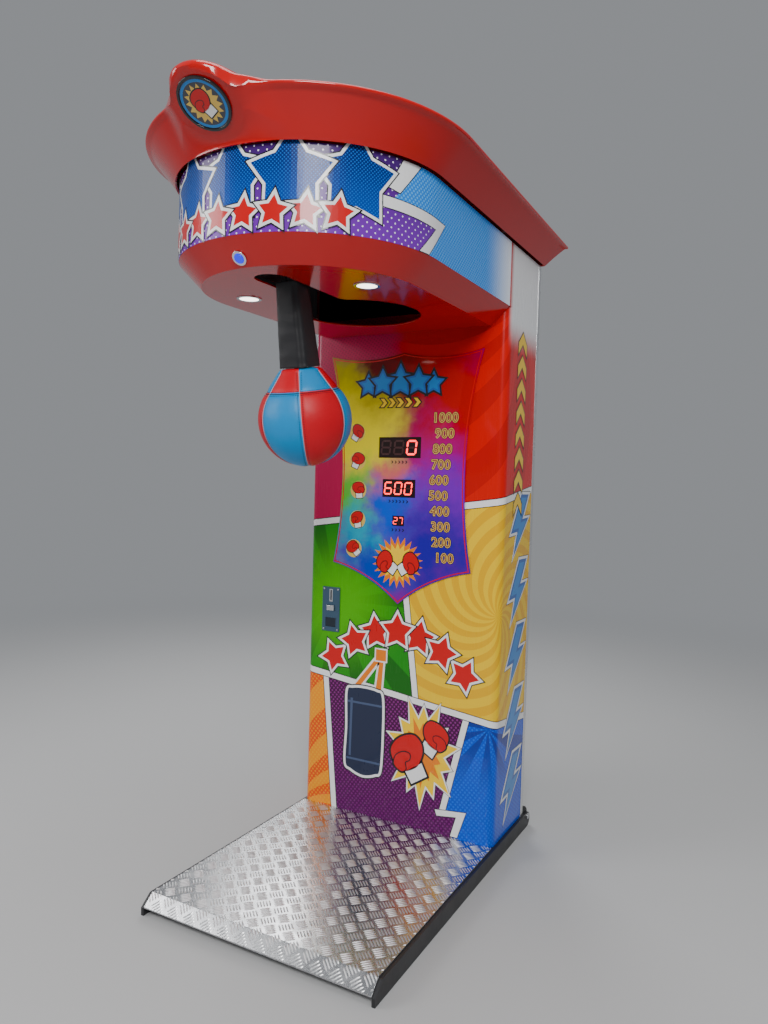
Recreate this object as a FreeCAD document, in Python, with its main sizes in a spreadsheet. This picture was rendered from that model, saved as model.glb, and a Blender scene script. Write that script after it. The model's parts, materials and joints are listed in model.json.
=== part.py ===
"""Boxing punch machine: a strength tester with a bag that swings up into its head.

Millimetres. The origin is on the floor, under the middle of the cabinet's front face.
+Z is up, +X is to the right of someone who faces the machine, and +Y runs into it.
"""
import FreeCAD, Part
import Sketcher
import math
import os
import re

from FreeCAD import Placement, Rotation, Vector

SIZES = {
    # cabinet and base
    "cab_width": 600, "cab_depth": 250, "tread_top": 45, "corner_round": 22, "skin": 3,
    "tread_run": 620, "tread_sheet": 3, "nose_run": 27, "nose_drop": 24, "tread_side_gap": 0.5,
    "rail_wide": 8, "rail_high": 42, "cross_tube": 30, "cross_high": 42,
    "axle_back": 29, "axle_up": 31, "wheel_round": 25, "wheel_wide": 20,
    "axle_round": 5, "run_gap": 0.05, "fixed_gap": 0.02, "side_play": 0.5, "seat_gap": 0.3,
    # head
    "soffit_up": 1425, "rim_top": 1474, "marquee_top": 1638, "head_straight": 450,
    "bevel_run": 48, "rim_wall": 4, "band_wall": 3,
    "hole_middle": 252, "hole_round": 152, "slot_half": 38, "slot_reach": 648, "slot_flare": 80,
    "cap_lip": 10, "cap_flare": 72, "cap_edge_up": 78, "cap_drop": 24, "cap_top_up": 7,
    "cap_top_in": 28, "cap_wall": 5, "cap_seat": 2, "cap_tail": 20, "cap_foot_tail": 4,
    "badge_ahead": 76, "badge_up": 1688, "badge_round": 48, "badge_lip": 21, "badge_tilt": 146.6,
    "boss_deep": 30, "badge_sheet": 3, "ring_wide": 5,
    "light_side": 157, "light_out": 490, "light_round": 24, "light_rim": 5, "light_deep": 22,
    "button_up": 1440.5, "button_stand": 0.25, "button_round": 10, "button_wall": 2,
    "button_flange": 3, "button_proud": 2.5, "button_travel": 3, "button_deep": 26,
    "led_high": 12, "led_deep": 4,
    # display
    "shield_top": 1369, "shield_top_half": 236, "shield_dip": 15, "shield_waist_up": 1005,
    "shield_waist_half": 191, "shield_foot_up": 772, "shield_foot_half": 216,
    "shield_tip_up": 668, "shield_sag": 16, "shield_sheet": 4,
    "score_left": -73, "score_low": 1078, "score_wide": 132, "score_high": 58,
    "best_left": -58, "best_low": 968, "best_wide": 103, "best_high": 50,
    "credit_left": -24, "credit_low": 888, "credit_wide": 37, "credit_high": 28,
    "module_deep": 18, "module_gap": 0.4, "lens_recess": 1.5,
    "board_wide": 330, "board_high": 400, "board_low": 830, "board_sheet": 2, "board_back": 22,
    # coin door
    "coin_left": -250, "coin_low": 566, "coin_wide": 59, "coin_high": 131, "coin_sheet": 3,
    "coin_slot_wide": 4, "coin_slot_high": 30, "coin_slot_up": 92,
    "reject_wide": 24, "reject_high": 15, "reject_up": 62, "reject_proud": 5,
    "reject_travel": 3, "flap_wide": 34, "flap_high": 26, "flap_up": 14, "flap_sheet": 1.5,
    "coin_play": 0.6, "mech_deep": 62, "mech_inset": 5, "cup_deep": 34,
    "chute_deep": 30, "box_wide": 190, "box_deep": 150, "box_high": 130,
    "box_wall": 2, "box_left": -275, "box_front": 30, "shelf_up": 240,
    # mast and mechanism
    "mast_half": 145, "tube": 30, "mast_back": 190, "beam_up": 1535, "beam_reach": 590,
    "pivot_out": 551, "pivot_up": 1480, "arm_lean": 12, "bag_drop": 343, "bag_round": 107,
    "swing": 93, "neck_round": 44, "neck_rise": 8.5, "tube_round": 14, "hub_round": 16, "hub_half": 40,
    "shaft_round": 8, "shaft_half": 78, "cheek_half": 48, "cheek_sheet": 5,
    "cheek_front": 132, "cheek_back": 35, "cheek_drop": 38, "bearing_round": 14,
    "sleeve_top": 45, "sleeve_upper": 56, "sleeve_lower": 71, "sleeve_wall": 4,
    "tab_long": 48, "tab_wide": 20, "tab_thick": 10, "buffer_at": 38, "buffer_round": 8,
    "buffer_long": 12, "bar_thick": 6, "bar_wide": 18,
    "hook_out": 60, "hook_down": 26, "hook_pin": 4, "hook_thick": 8, "hook_open": 25,
    "hook_rear": 20, "hook_nose": 7, "hook_stem": 12, "hook_high": 29,
    "plunger_round": 4, "plunger_up": 10, "plunger_tip": 14, "plunger_long": 44,
    "coil_front": 62, "coil_back": 22, "coil_half": 16,
    "disc_round": 25, "disc_out": 62, "disc_thick": 3,
    # rear
    "door_low": 60, "door_high": 1100, "door_gap": 2, "door_sheet": 3, "hinge_round": 4,
    "lock_round": 9, "lock_in": 30, "lock_up": 620, "lock_deep": 10, "cam_long": 26,
    "cam_wide": 14, "cam_thick": 3, "keeper_wide": 12, "keeper_thick": 2.5, "keeper_in": 9,
    "trim_wide": 18, "trim_thick": 1.5, "screw_head": 4,
    "psu_wide": 110, "psu_deep": 45, "psu_high": 160, "speaker_round": 50,
    "inlet_left": 228, "inlet_low": 1220, "inlet_wide": 48, "inlet_high": 28,
    "inlet_deep": 30,
}

doc = FreeCAD.newDocument("BoxingMachine")
sheet = doc.addObject("Spreadsheet::Sheet", "Sizes")
for row, (alias, size) in enumerate(SIZES.items(), start=1):
    sheet.set(f"A{row}", alias)
    sheet.set(f"B{row}", str(size))
    sheet.setAlias(f"B{row}", alias)
doc.recompute()


class Read:
    """Gives a driving size from the sheet, for the pieces whose shape is set in code."""

    def __getattr__(self, alias):
        return float(sheet.get(alias))


s = Read()
parts = []
X, Y, Z = Vector(1, 0, 0), Vector(0, 1, 0), Vector(0, 0, 1)
UPRIGHT = Rotation()
ALONG_X = Rotation(Y, 90)
ALONG_Y = Rotation(X, -90)


def formula(text):
    """Turns plain size names into references to the sheet's cells."""
    return re.sub(r"[a-z][a-z_]*", lambda word: "Sizes." + word.group() if word.group() in SIZES
                  else word.group(), str(text))


def bind(item, **sizes):
    for name, text in sizes.items():
        item.setExpression(name.replace("__", "."), formula(text))


def place(item, x, y, z, rotation=UPRIGHT):
    item.Placement = Placement(Vector(), rotation)
    bind(item, Placement__Base__x=x, Placement__Base__y=y, Placement__Base__z=z)
    return item


def box(x, y, z, wide, deep, high):
    """A block from its lowest corner and its sides along X, Y and Z."""
    item = doc.addObject("Part::Box", "Block")
    bind(item, Length=wide, Width=deep, Height=high)
    return place(item, x, y, z)


def rod(x, y, z, radius, length, rotation=UPRIGHT):
    """A cylinder from the middle of its first face."""
    item = doc.addObject("Part::Cylinder", "Rod")
    bind(item, Radius=radius, Height=length)
    return place(item, x, y, z, rotation)


def fuse(*items):
    item = doc.addObject("Part::MultiFuse", "Joined")
    item.Shapes = list(items)
    return item


def cut(base, *tools):
    item = doc.addObject("Part::Cut", "Cut")
    item.Base = base
    item.Tool = tools[0] if len(tools) == 1 else fuse(*tools)
    return item


def group(*items):
    item = doc.addObject("Part::Compound", "Group")
    item.Links = list(items)
    return item


def node(label, item, placement=None):
    """Names a finished sub-part and keeps it for export."""
    item.Label = label
    if placement:
        item.Placement = placement
    parts.append(item)
    return item


def solid(label, shape, placement=None):
    item = doc.addObject("Part::Feature", "Shaped")
    item.Shape = shape
    return node(label, item, placement)


def prism(points, direction):
    """A straight solid on a closed outline of points."""
    outline = Part.makePolygon(points + [points[0]])
    return Part.Face(outline).extrude(direction)


def origin_plane(body, role):
    return next(f for f in body.Origin.OriginFeatures if f.Role == role)


def rectangle(body, role, left, low, wide, high, name):
    """A sketch of one rectangle whose place and sides follow the sheet."""
    sketch = body.newObject("Sketcher::SketchObject", name)
    sketch.AttachmentSupport = [(origin_plane(body, role), "")]
    sketch.MapMode = "FlatFace"
    corners = [Vector(0, 0, 0), Vector(10, 0, 0), Vector(10, 10, 0), Vector(0, 10, 0)]
    for start, end in zip(corners, corners[1:] + corners[:1]):
        sketch.addGeometry(Part.LineSegment(start, end))
    for first in range(4):
        sketch.addConstraint(Sketcher.Constraint("Coincident", first, 2, (first + 1) % 4, 1))
    for side in (0, 2):
        sketch.addConstraint(Sketcher.Constraint("Horizontal", side))
    for side in (1, 3):
        sketch.addConstraint(Sketcher.Constraint("Vertical", side))
    sized = (("DistanceX", 0, 1, 0, 2, wide, 10), ("DistanceY", 1, 1, 1, 2, high, 10),
             ("DistanceX", -1, 1, 0, 1, left, 1), ("DistanceY", -1, 1, 0, 1, low, 1))
    for kind, a, a_end, b, b_end, text, start in sized:
        index = sketch.addConstraint(Sketcher.Constraint(kind, a, a_end, b, b_end, float(start)))
        sketch.setExpression(f"Constraints[{index}]", formula(text))
    return sketch


def plate(label, role, outline, thick, windows):
    """A PartDesign plate: a padded rectangle with rectangular windows pocketed through it."""
    body = doc.addObject("PartDesign::Body", label.title().replace("_", ""))
    body.Label = label
    pad = body.newObject("PartDesign::Pad", "Pad")
    pad.Profile = rectangle(body, role, *outline, "Outline")
    bind(pad, Length=thick)
    body.Tip = pad
    doc.recompute()
    for number, window in enumerate(windows):
        before = body.Shape.Volume
        pocket = body.newObject("PartDesign::Pocket", f"Window{number}")
        pocket.Profile = rectangle(body, role, *window, f"WindowOutline{number}")
        pocket.Type = "ThroughAll"
        pocket.Midplane = True
        body.Tip = pocket
        doc.recompute()
        if body.Shape.Volume >= before:
            raise RuntimeError(f"{label}: window {number} cut nothing")
    parts.append(body)


def mirrored(item):
    """The same piece on the other side of the centre plane."""
    twin = doc.addObject("Part::Mirroring", "Mirrored")
    twin.Source = item
    twin.Normal = X
    return twin


# ---------------------------------------------------------------- base

def base_frame():
    """Two flat side rails, cross tubes on the floor, a plinth deck and the wheel ears."""
    back = "cab_depth + axle_back"
    rail = box("cab_width/2 + tread_side_gap", "-tread_run", 0, "rail_wide",
               f"tread_run + {back}", "rail_high")
    ear = rod("cab_width/2 + tread_side_gap", back, "rail_high/2", "rail_high/2", "rail_wide",
              ALONG_X)
    toe_shape = prism([Vector(s.cab_width/2 + s.tread_side_gap, -s.tread_run, 0),
                       Vector(s.cab_width/2 + s.tread_side_gap, -s.tread_run, s.rail_high),
                       Vector(s.cab_width/2 + s.tread_side_gap, -s.tread_run - s.nose_run,
                              s.rail_high - s.nose_drop),
                       Vector(s.cab_width/2 + s.tread_side_gap, -s.tread_run - s.nose_run, 0)],
                      Vector(s.rail_wide, 0, 0))
    toe = doc.addObject("Part::Feature", "Toe")
    toe.Shape = toe_shape
    side = fuse(rail, ear, toe)
    tubes = [box("-cab_width/2 - tread_side_gap", f"{at} - cross_tube/2", 0,
                 "cab_width + 2*tread_side_gap", "cross_tube", "cross_high")
             for at in ("-tread_run + cross_tube", "-tread_run/2", "0",
                        "cab_depth - cross_tube/2")]
    posts = [box(f"{way}*mast_half - tube/2", "cross_tube/2", 0, "tube",
                 "cab_depth - 3*cross_tube/2", "cross_high") for way in (-1, 1)]
    bore = rod("-cab_width", back, "axle_up", "axle_round + fixed_gap", "2*cab_width", ALONG_X)
    node("base_frame", cut(fuse(side, mirrored(side), *tubes, *posts), bore))


def tread_plate():
    """A folded sheet: the flat deck, and a sloping nose at its front."""
    half = s.cab_width/2
    top, thick = s.tread_top, s.tread_sheet
    fold, lip = -s.tread_run, -s.tread_run - s.nose_run
    section = [Vector(-half, 0, top - thick), Vector(-half, 0, top), Vector(-half, fold, top),
               Vector(-half, lip, top - s.nose_drop), Vector(-half, lip, top - s.nose_drop - thick),
               Vector(-half, fold, top - thick)]
    solid("tread_plate", prism(section, Vector(2*half, 0, 0)))


def tread_screws():
    """Dome-headed screws along the two long edges of the deck."""
    heads = [rod(f"{way}*(cab_width/2 - 14)", f"-{at}*tread_run", "tread_top", "screw_head", 1.2)
             for way in (-1, 1) for at in (0.05, 0.35, 0.65, 0.95)]
    node("tread_screws", group(*heads))


def transport_wheels():
    """Two small wheels behind the cabinet, clear of the floor until the machine is tipped."""
    back = "cab_depth + axle_back"
    outer = "(cab_width/2 + tread_side_gap)"
    for label, way in (("left", -1), ("right", 1)):
        start = f"{outer} - side_play - wheel_wide" if way > 0 else f"-{outer} + side_play"
        tyre = rod(start, back, "axle_up", "wheel_round", "wheel_wide", ALONG_X)
        bore = rod(start, back, "axle_up", "axle_round + run_gap", "wheel_wide", ALONG_X)
        node(f"transport_wheel_{label}", cut(tyre, bore))
    axles = []
    for way in (-1, 1):
        long = "rail_wide + wheel_wide + 2*side_play"
        start = f"{outer} + rail_wide - ({long})" if way > 0 else f"-{outer} - rail_wide"
        head = f"{start} + {long}" if way > 0 else f"{start} - 3"
        tail = f"{start} - 4" if way > 0 else f"{start} + {long}"
        axles.append(fuse(rod(start, back, "axle_up", "axle_round", long, ALONG_X),
                          rod(head, back, "axle_up", "1.8*axle_round", 3, ALONG_X),
                          rod(tail, back, "axle_up", "1.6*axle_round", 4, ALONG_X)))
    node("wheel_axles", group(*axles))


# ---------------------------------------------------------------- cabinet

def wrap_outline(inset):
    """Half-open plan of the front panel: flat front, rounded corners, short returns."""
    half, turn = s.cab_width/2 - inset, s.corner_round - inset
    bend = turn*(1 - math.sqrt(0.5))
    low, back = inset, s.corner_round
    left = Part.Arc(Vector(-half, back, 0), Vector(-half + bend, low + bend, 0),
                    Vector(-half + turn, low, 0))
    right = Part.Arc(Vector(half - turn, low, 0), Vector(half - bend, low + bend, 0),
                     Vector(half, back, 0))
    front = Part.LineSegment(Vector(-half + turn, low, 0), Vector(half - turn, low, 0))
    return [left.toShape(), front.toShape(), right.toShape()]


def front_panel():
    """One sheet wrapped round both front corners, with windows for what it carries."""
    outer, inner = wrap_outline(0), wrap_outline(s.skin)
    ends = [Part.makeLine(Vector(way*s.cab_width/2, s.corner_round, 0),
                          Vector(way*(s.cab_width/2 - s.skin), s.corner_round, 0))
            for way in (-1, 1)]
    wire = Part.Wire(Part.__sortEdges__(outer + inner + ends))
    shell = Part.Face(wire).extrude(Vector(0, 0, s.rim_top - s.cross_high))
    shell.translate(Vector(0, 0, s.cross_high))
    gap = s.module_gap
    windows = [(s.score_left, s.score_low, s.score_wide, s.score_high),
               (s.best_left, s.best_low, s.best_wide, s.best_high),
               (s.credit_left, s.credit_low, s.credit_wide, s.credit_high),
               (s.coin_left + s.mech_inset, s.coin_low + s.mech_inset,
                s.coin_wide - 2*s.mech_inset, s.coin_high - 2*s.mech_inset)]
    for left, low, wide, high in windows:
        hole = Part.makeBox(wide + 2*gap, 4*s.skin, high + 2*gap,
                            Vector(left - gap, -s.skin, low - gap))
        shell = shell.cut(hole)
    solid("front_panel", shell)


def side_panels():
    """Flat sides that run up behind the illuminated band to the cap."""
    for label, way in (("left", -1), ("right", 1)):
        face = way*s.cab_width/2 if way < 0 else s.cab_width/2 - s.skin
        outline = [Vector(face, s.corner_round, s.cross_high),
                   Vector(face, s.cab_depth, s.cross_high),
                   Vector(face, s.cab_depth, s.marquee_top),
                   Vector(face, 0, s.marquee_top), Vector(face, 0, s.rim_top),
                   Vector(face, s.corner_round, s.rim_top)]
        panel = prism(outline, Vector(s.skin, 0, 0))
        if way > 0:
            keeper = Vector(s.cab_width/2 - s.skin - s.keeper_wide,
                            s.cab_depth - s.door_sheet - s.keeper_in, s.lock_up - s.cam_wide)
            panel = panel.fuse(Part.makeBox(s.keeper_wide, s.keeper_thick, 2*s.cam_wide, keeper))
        solid(f"{label}_side_panel", panel)


def rear_of_cabinet():
    """A fixed upper back, a sill, and the service door with its hinge and lock."""
    inside = "cab_width/2 - skin"
    above = "door_low + door_high + door_gap"
    upper = box(f"-({inside})", "cab_depth - door_sheet", above, f"2*({inside})", "door_sheet",
                f"marquee_top - ({above})")
    window = box("inlet_left + 4 - fixed_gap", "cab_depth - 2*door_sheet",
                 "inlet_low + 4 - fixed_gap", "inlet_wide - 8 + 2*fixed_gap", "3*door_sheet",
                 "inlet_high - 8 + 2*fixed_gap")
    node("rear_upper_panel", cut(upper, window))
    node("rear_sill", box(f"-({inside})", "cab_depth - door_sheet", "cross_high",
                          f"2*({inside})", "door_sheet", "door_low - cross_high - door_gap"))
    door = box(f"-({inside}) + 2*hinge_round + door_gap", "cab_depth - door_sheet", "door_low",
               f"2*({inside}) - 2*hinge_round - 2*door_gap", "door_sheet", "door_high")
    node("rear_door", cut(door, rod(f"{inside} - lock_in", "cab_depth - 2*door_sheet", "lock_up",
                                    "lock_round", "4*door_sheet", ALONG_Y)))
    hinge_x = f"-({inside}) + hinge_round + 0.5"
    knuckles, leaves, pins = [], [], []
    for at in (0.12, 0.5, 0.88):
        low = f"door_low + {at}*door_high - 30"
        barrel = rod(hinge_x, "cab_depth + hinge_round", low, "hinge_round", 29.5)
        leaf = box(f"{hinge_x} - hinge_round - 0.5", "cab_depth", low, 2.5, "hinge_round", 29.5)
        wall = box(f"-({inside})", "cab_depth - door_sheet", low, "hinge_round",
                   "door_sheet", 29.5)
        pin_hole = rod(hinge_x, "cab_depth + hinge_round", f"{low} - 1", 2, 80)
        knuckles.append(cut(fuse(barrel, leaf, wall), pin_hole))
        up = f"{low} + 30.5"
        moving = rod(hinge_x, "cab_depth + hinge_round", up, "hinge_round", 29.5)
        flange = box(hinge_x, "cab_depth", up, 26, 1.5, 29.5)
        web = box(hinge_x, "cab_depth", up, "hinge_round", "hinge_round", 29.5)
        leaves.append(cut(fuse(moving, flange, web),
                          rod(hinge_x, "cab_depth + hinge_round", f"{up} - 1",
                              "2 + run_gap", 80)))
        pins.append(rod(hinge_x, "cab_depth + hinge_round", low, 2, 60))
    node("door_hinge_frame_leaves", group(*knuckles))
    node("door_hinge_door_leaves", group(*leaves))
    node("door_hinge_pins", group(*pins))
    lock_x = f"{inside} - lock_in"
    head = rod(lock_x, "cab_depth", "lock_up", "lock_round + 3", 2.5, ALONG_Y)
    barrel = rod(lock_x, "cab_depth - door_sheet - lock_deep", "lock_up",
                 "lock_round - fixed_gap", "door_sheet + lock_deep", ALONG_Y)
    keyway = box(f"{lock_x} - 1", "cab_depth + 1", "lock_up - 3.5", 2, 5, 7)
    node("door_lock_barrel", cut(fuse(head, barrel), keyway))
    cam_y = "cab_depth - door_sheet - lock_deep - 0.5 - cam_thick"
    boss = rod(lock_x, cam_y, "lock_up", "cam_wide/2", "cam_thick", ALONG_Y)
    tail = box(f"{lock_x} - cam_wide/2", cam_y, "lock_up", "cam_wide", "cam_thick", "cam_long")
    node("door_lock_cam", fuse(boss, tail))


def corner_trims():
    """Thin bright angles along the rear vertical edges."""
    wall = "cab_width/2"
    leg = box(wall, "cab_depth - trim_wide", "cross_high", "trim_thick", "trim_wide",
              "marquee_top - cross_high")
    lap = box(f"{wall} - skin", "cab_depth", "cross_high", "skin + trim_thick", "trim_thick",
              "marquee_top - cross_high")
    right = fuse(leg, lap)
    node("rear_corner_trims", group(right, mirrored(right)))


def mast_frame():
    """Two uprights, two beams that reach forward into the head, and their cross tubes."""
    top = "beam_up + tube"
    bars = []
    for way in (-1, 1):
        side = f"{way}*mast_half - tube/2"
        bars.append(box(side, "mast_back", "cross_high", "tube", "tube", f"{top} - cross_high"))
        bars.append(box(side, "-beam_reach", "beam_up", "tube", "beam_reach + mast_back",
                        "tube"))
    inner = "2*mast_half - tube"
    left = "-mast_half + tube/2"
    bars.append(box(left, "-beam_reach", "beam_up", inner, "tube", "tube"))
    bars.append(box(left, "mast_back", "beam_up", inner, "tube", "tube"))
    bars.append(box(left, "mast_back", "shelf_up - tube", inner, "tube", "tube"))
    node("mast_frame", fuse(*bars))


# ---------------------------------------------------------------- head

def head_plan(radius, up, rear=0.0):
    """The head's plan as a closed wire: straight sides and a half-round front."""
    mid = -s.head_straight
    arc = Part.Arc(Vector(-radius, mid, up), Vector(0, mid - radius, up),
                   Vector(radius, mid, up)).toShape()
    corners = [Vector(radius, mid, up), Vector(radius, rear, up), Vector(-radius, rear, up),
               Vector(-radius, mid, up)]
    return Part.Wire([arc] + [Part.makeLine(a, b) for a, b in zip(corners, corners[1:])])


def head_solid(radius, low, high, rear=0.0):
    return Part.Face(head_plan(radius, low, rear)).extrude(Vector(0, 0, high - low))


def keyhole():
    """The opening that the bag swings through: a round rear and a slot for the arm."""
    tall, low = 4*s.rim_wall, s.soffit_up - 2*s.rim_wall
    up = Vector(0, 0, tall)
    round_part = Part.makeCylinder(s.hole_round, tall, Vector(0, -s.hole_middle, low))
    tip = Part.makeCylinder(s.slot_half, tall, Vector(0, -s.slot_reach + s.slot_half, low))
    join = s.hole_middle + s.hole_round*0.6
    wide = s.hole_round*0.8
    curve_end = join + s.slot_flare
    sides = []
    for way in (1, -1):
        ends = [Vector(way*wide, -join, low), Vector(way*s.slot_half, -curve_end, low)]
        bow = Part.BezierCurve()
        bow.setPoles([ends[0], Vector(way*wide*0.62, -join - s.slot_flare*0.45, low),
                      Vector(way*s.slot_half, -curve_end + s.slot_flare*0.42, low), ends[1]])
        sides.append((bow.toShape(), ends))
    front = Vector(0, -s.slot_reach + s.slot_half, 0)
    right, left = sides
    edges = [right[0], left[0],
             Part.makeLine(right[1][0], left[1][0]),
             Part.makeLine(right[1][1], Vector(s.slot_half, front.y, low)),
             Part.makeLine(left[1][1], Vector(-s.slot_half, front.y, low)),
             Part.makeLine(Vector(s.slot_half, front.y, low), Vector(-s.slot_half, front.y, low))]
    slot = Part.Face(Part.Wire(Part.__sortEdges__(edges))).extrude(up)
    return round_part.fuse([tip, slot])


def button_axis():
    """Local +Z points out of the bevel, forward and down."""
    rise = s.rim_top - s.soffit_up
    out = s.cab_width/2 - s.bevel_run + (s.button_up - s.soffit_up)*s.bevel_run/rise
    slope = math.atan2(rise, s.bevel_run)
    stand = s.button_stand
    return Placement(Vector(0, -s.head_straight - out - stand*math.sin(slope),
                            s.button_up - stand*math.cos(slope)),
                     Rotation(X, 180 - math.degrees(slope)))


def head_rim():
    """The red moulding under the head: a bevel all round and a flat soffit."""
    outer_radius = s.cab_width/2
    inner_radius = outer_radius - s.bevel_run
    outer = Part.makeLoft([head_plan(inner_radius, s.soffit_up),
                           head_plan(outer_radius, s.rim_top)], True, True)
    hollow = outer.copy()
    hollow.translate(Vector(0, 0, s.rim_wall))
    rim = outer.cut(hollow).cut(keyhole())
    for way in (-1, 1):
        light = Part.makeCylinder(s.light_round + s.module_gap, 4*s.rim_wall,
                                  Vector(way*s.light_side, -s.light_out,
                                         s.soffit_up - s.rim_wall))
        rim = rim.cut(light)
    hole = Part.makeCylinder(s.button_round + s.button_wall + 0.1, 8*s.rim_wall,
                             Vector(0, 0, -4*s.rim_wall))
    hole.Placement = button_axis()*hole.Placement
    solid("head_rim", rim.cut(hole))


def marquee_band():
    """A clear plastic band bent round the head, lit from behind."""
    half = s.cab_width/2
    band = head_solid(half, s.rim_top, s.marquee_top)
    solid("marquee_band", band.cut(head_solid(half - s.band_wall, s.rim_top - 1,
                                              s.marquee_top + 1, 1)))


def marquee_lamps():
    """Lamp strips on two carriers that follow the band, near its lower and upper edges."""
    half = s.cab_width/2 - s.band_wall
    strips = []
    for low in (s.rim_top + 0.5, s.marquee_top - s.led_high - 0.5):
        ring = head_solid(half - 0.3, low, low + s.led_high)
        strips.append(ring.cut(head_solid(half - s.led_deep, low - 1, low + s.led_high + 1, 1)))
    solid("marquee_lamp_strips", Part.makeCompound(strips))


def tilted(wire):
    """Tips the cap's upper outlines, so that the cap runs down towards the back."""
    span = s.head_straight + s.cab_width/2 + s.cab_depth
    turned = wire.copy()
    turned.rotate(Vector(0, s.cab_depth, s.marquee_top + s.cap_edge_up - s.cap_drop), X,
                  -math.degrees(math.atan(s.cap_drop/span)))
    return turned


def cap_form(foot, foot_up, foot_rear, brim, brim_rear, edge_up, top_in, top_up):
    """A flare up to a sharp brim, closed by a shallow bevelled top."""
    low = head_plan(foot, foot_up, foot_rear)
    edge = tilted(head_plan(brim, edge_up, brim_rear))
    top = tilted(head_plan(brim - top_in, top_up, brim_rear - top_in/2))
    return Part.makeLoft([low, edge], True, True).fuse(Part.makeLoft([edge, top], True, True))


def cap_shell():
    half, wall = s.cab_width/2, s.cap_wall
    brim, tail = half + s.cap_flare, s.cab_depth + s.cap_tail
    edge_up = s.marquee_top + s.cap_edge_up - s.cap_drop
    top_up = edge_up + s.cap_top_up
    outer = cap_form(half + s.cap_lip, s.marquee_top, s.cab_depth + s.cap_foot_tail,
                     brim, tail, edge_up, s.cap_top_in, top_up)
    inner = cap_form(half - s.cap_seat - 1, s.marquee_top - 1, s.cab_depth - s.cap_seat - 1,
                     brim - 2*wall, tail - 2*wall, edge_up - wall/2, s.cap_top_in - wall,
                     top_up - wall)
    return outer.cut(inner)


def badge_axis():
    """Local +Z points out of the badge, forward and down."""
    out = s.head_straight + s.cab_width/2 + s.badge_ahead
    return Placement(Vector(0, -out, s.badge_up), Rotation(X, s.badge_tilt))


def cap_moulding():
    """The big red cap with a round boss at its front for the badge."""
    boss = Part.makeCylinder(s.badge_round + s.badge_lip, s.boss_deep,
                             Vector(0, 0, -s.boss_deep))
    seat = Part.makeCylinder(s.badge_round + s.ring_wide, s.badge_sheet,
                             Vector(0, 0, -s.badge_sheet))
    for piece in (boss, seat):
        piece.Placement = badge_axis()*piece.Placement
    solid("cap_moulding", cap_shell().fuse(boss).cut(seat))


def badge():
    face = rod(0, 0, "-badge_sheet", "badge_round", "badge_sheet")
    node("badge_face", group(face), badge_axis())
    ring = cut(rod(0, 0, "-badge_sheet", "badge_round + ring_wide", "badge_sheet + 2"),
               rod(0, 0, "-badge_sheet", "badge_round", "badge_sheet + 3"))
    node("badge_ring", ring, badge_axis())


def downlights():
    """Two recessed lamps in the soffit, each a bezel with a can behind it and a lens."""
    bezels, lenses = [], []
    for way in (-1, 1):
        where = (f"{way}*light_side", "-light_out")
        flange = rod(*where, "soffit_up - 2", "light_round + light_rim", 2)
        can = rod(*where, "soffit_up - 2", "light_round", "light_deep + 2")
        hollow = rod(*where, "soffit_up - 3", "light_round - 2", "light_deep + 1")
        bezels.append(cut(fuse(flange, can), hollow))
        lenses.append(rod(*where, "soffit_up - 1", "light_round - 2.3", 3))
    node("downlight_bezels", group(*bezels))
    node("downlight_lenses", group(*lenses))


def start_button():
    """A lit push button in the middle of the bevel."""
    wall = "button_round + button_wall"
    flange = rod(0, 0, 0, f"{wall} + 3.5", "button_flange")
    barrel = rod(0, 0, "-button_deep", wall, "button_deep + button_flange")
    nut = rod(0, 0, "-rim_wall - 6", f"{wall} + 4", 5)
    bore = rod(0, 0, "-button_deep + 3", "button_round + side_play",
               "button_deep + button_flange")
    node("start_button_housing", cut(fuse(flange, barrel, nut), bore), button_axis())
    cap = rod(0, 0, "-button_deep + 3 + button_travel + seat_gap", "button_round",
              "button_deep - 3 - button_travel - seat_gap + button_flange + button_proud")
    node("start_button_cap", group(cap), button_axis())


# ---------------------------------------------------------------- display

def bowed(a, b, sag):
    """An arc from a to b that bows by sag to the left of the way it runs, in the XZ plane."""
    run = b.sub(a)
    side = Vector(-run.z, 0, run.x).normalize()
    middle = a.add(b).multiply(0.5).add(side.multiply(sag))
    return Part.Arc(a, middle, b).toShape()


def display_panel():
    """A shield-shaped glossy sheet with a scalloped top and a pointed foot."""
    front = -s.shield_sheet
    half, foot = s.shield_top_half, s.shield_foot_half
    cusp = Vector(0, front, s.shield_top)
    left, right = Vector(-half, front, s.shield_top), Vector(half, front, s.shield_top)
    low_left = Vector(-foot, front, s.shield_foot_up)
    low_right = Vector(foot, front, s.shield_foot_up)
    tip = Vector(0, front, s.shield_tip_up)
    waist = [Vector(way*s.shield_waist_half, front, s.shield_waist_up) for way in (-1, 1)]
    edges = [bowed(left, cusp, -s.shield_dip), bowed(cusp, right, -s.shield_dip),
             Part.Arc(right, waist[1], low_right).toShape(),
             bowed(low_right, tip, -s.shield_sag), bowed(tip, low_left, -s.shield_sag),
             Part.Arc(low_left, waist[0], left).toShape()]
    shield = Part.Face(Part.Wire(edges)).extrude(Vector(0, s.shield_sheet, 0))
    for name in ("score", "best", "credit"):
        low = Vector(getattr(s, name + "_left"), front - 1, getattr(s, name + "_low"))
        shield = shield.cut(Part.makeBox(getattr(s, name + "_wide"), s.shield_sheet + 2,
                                         getattr(s, name + "_high"), low))
    solid("display_panel", shield)


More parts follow.
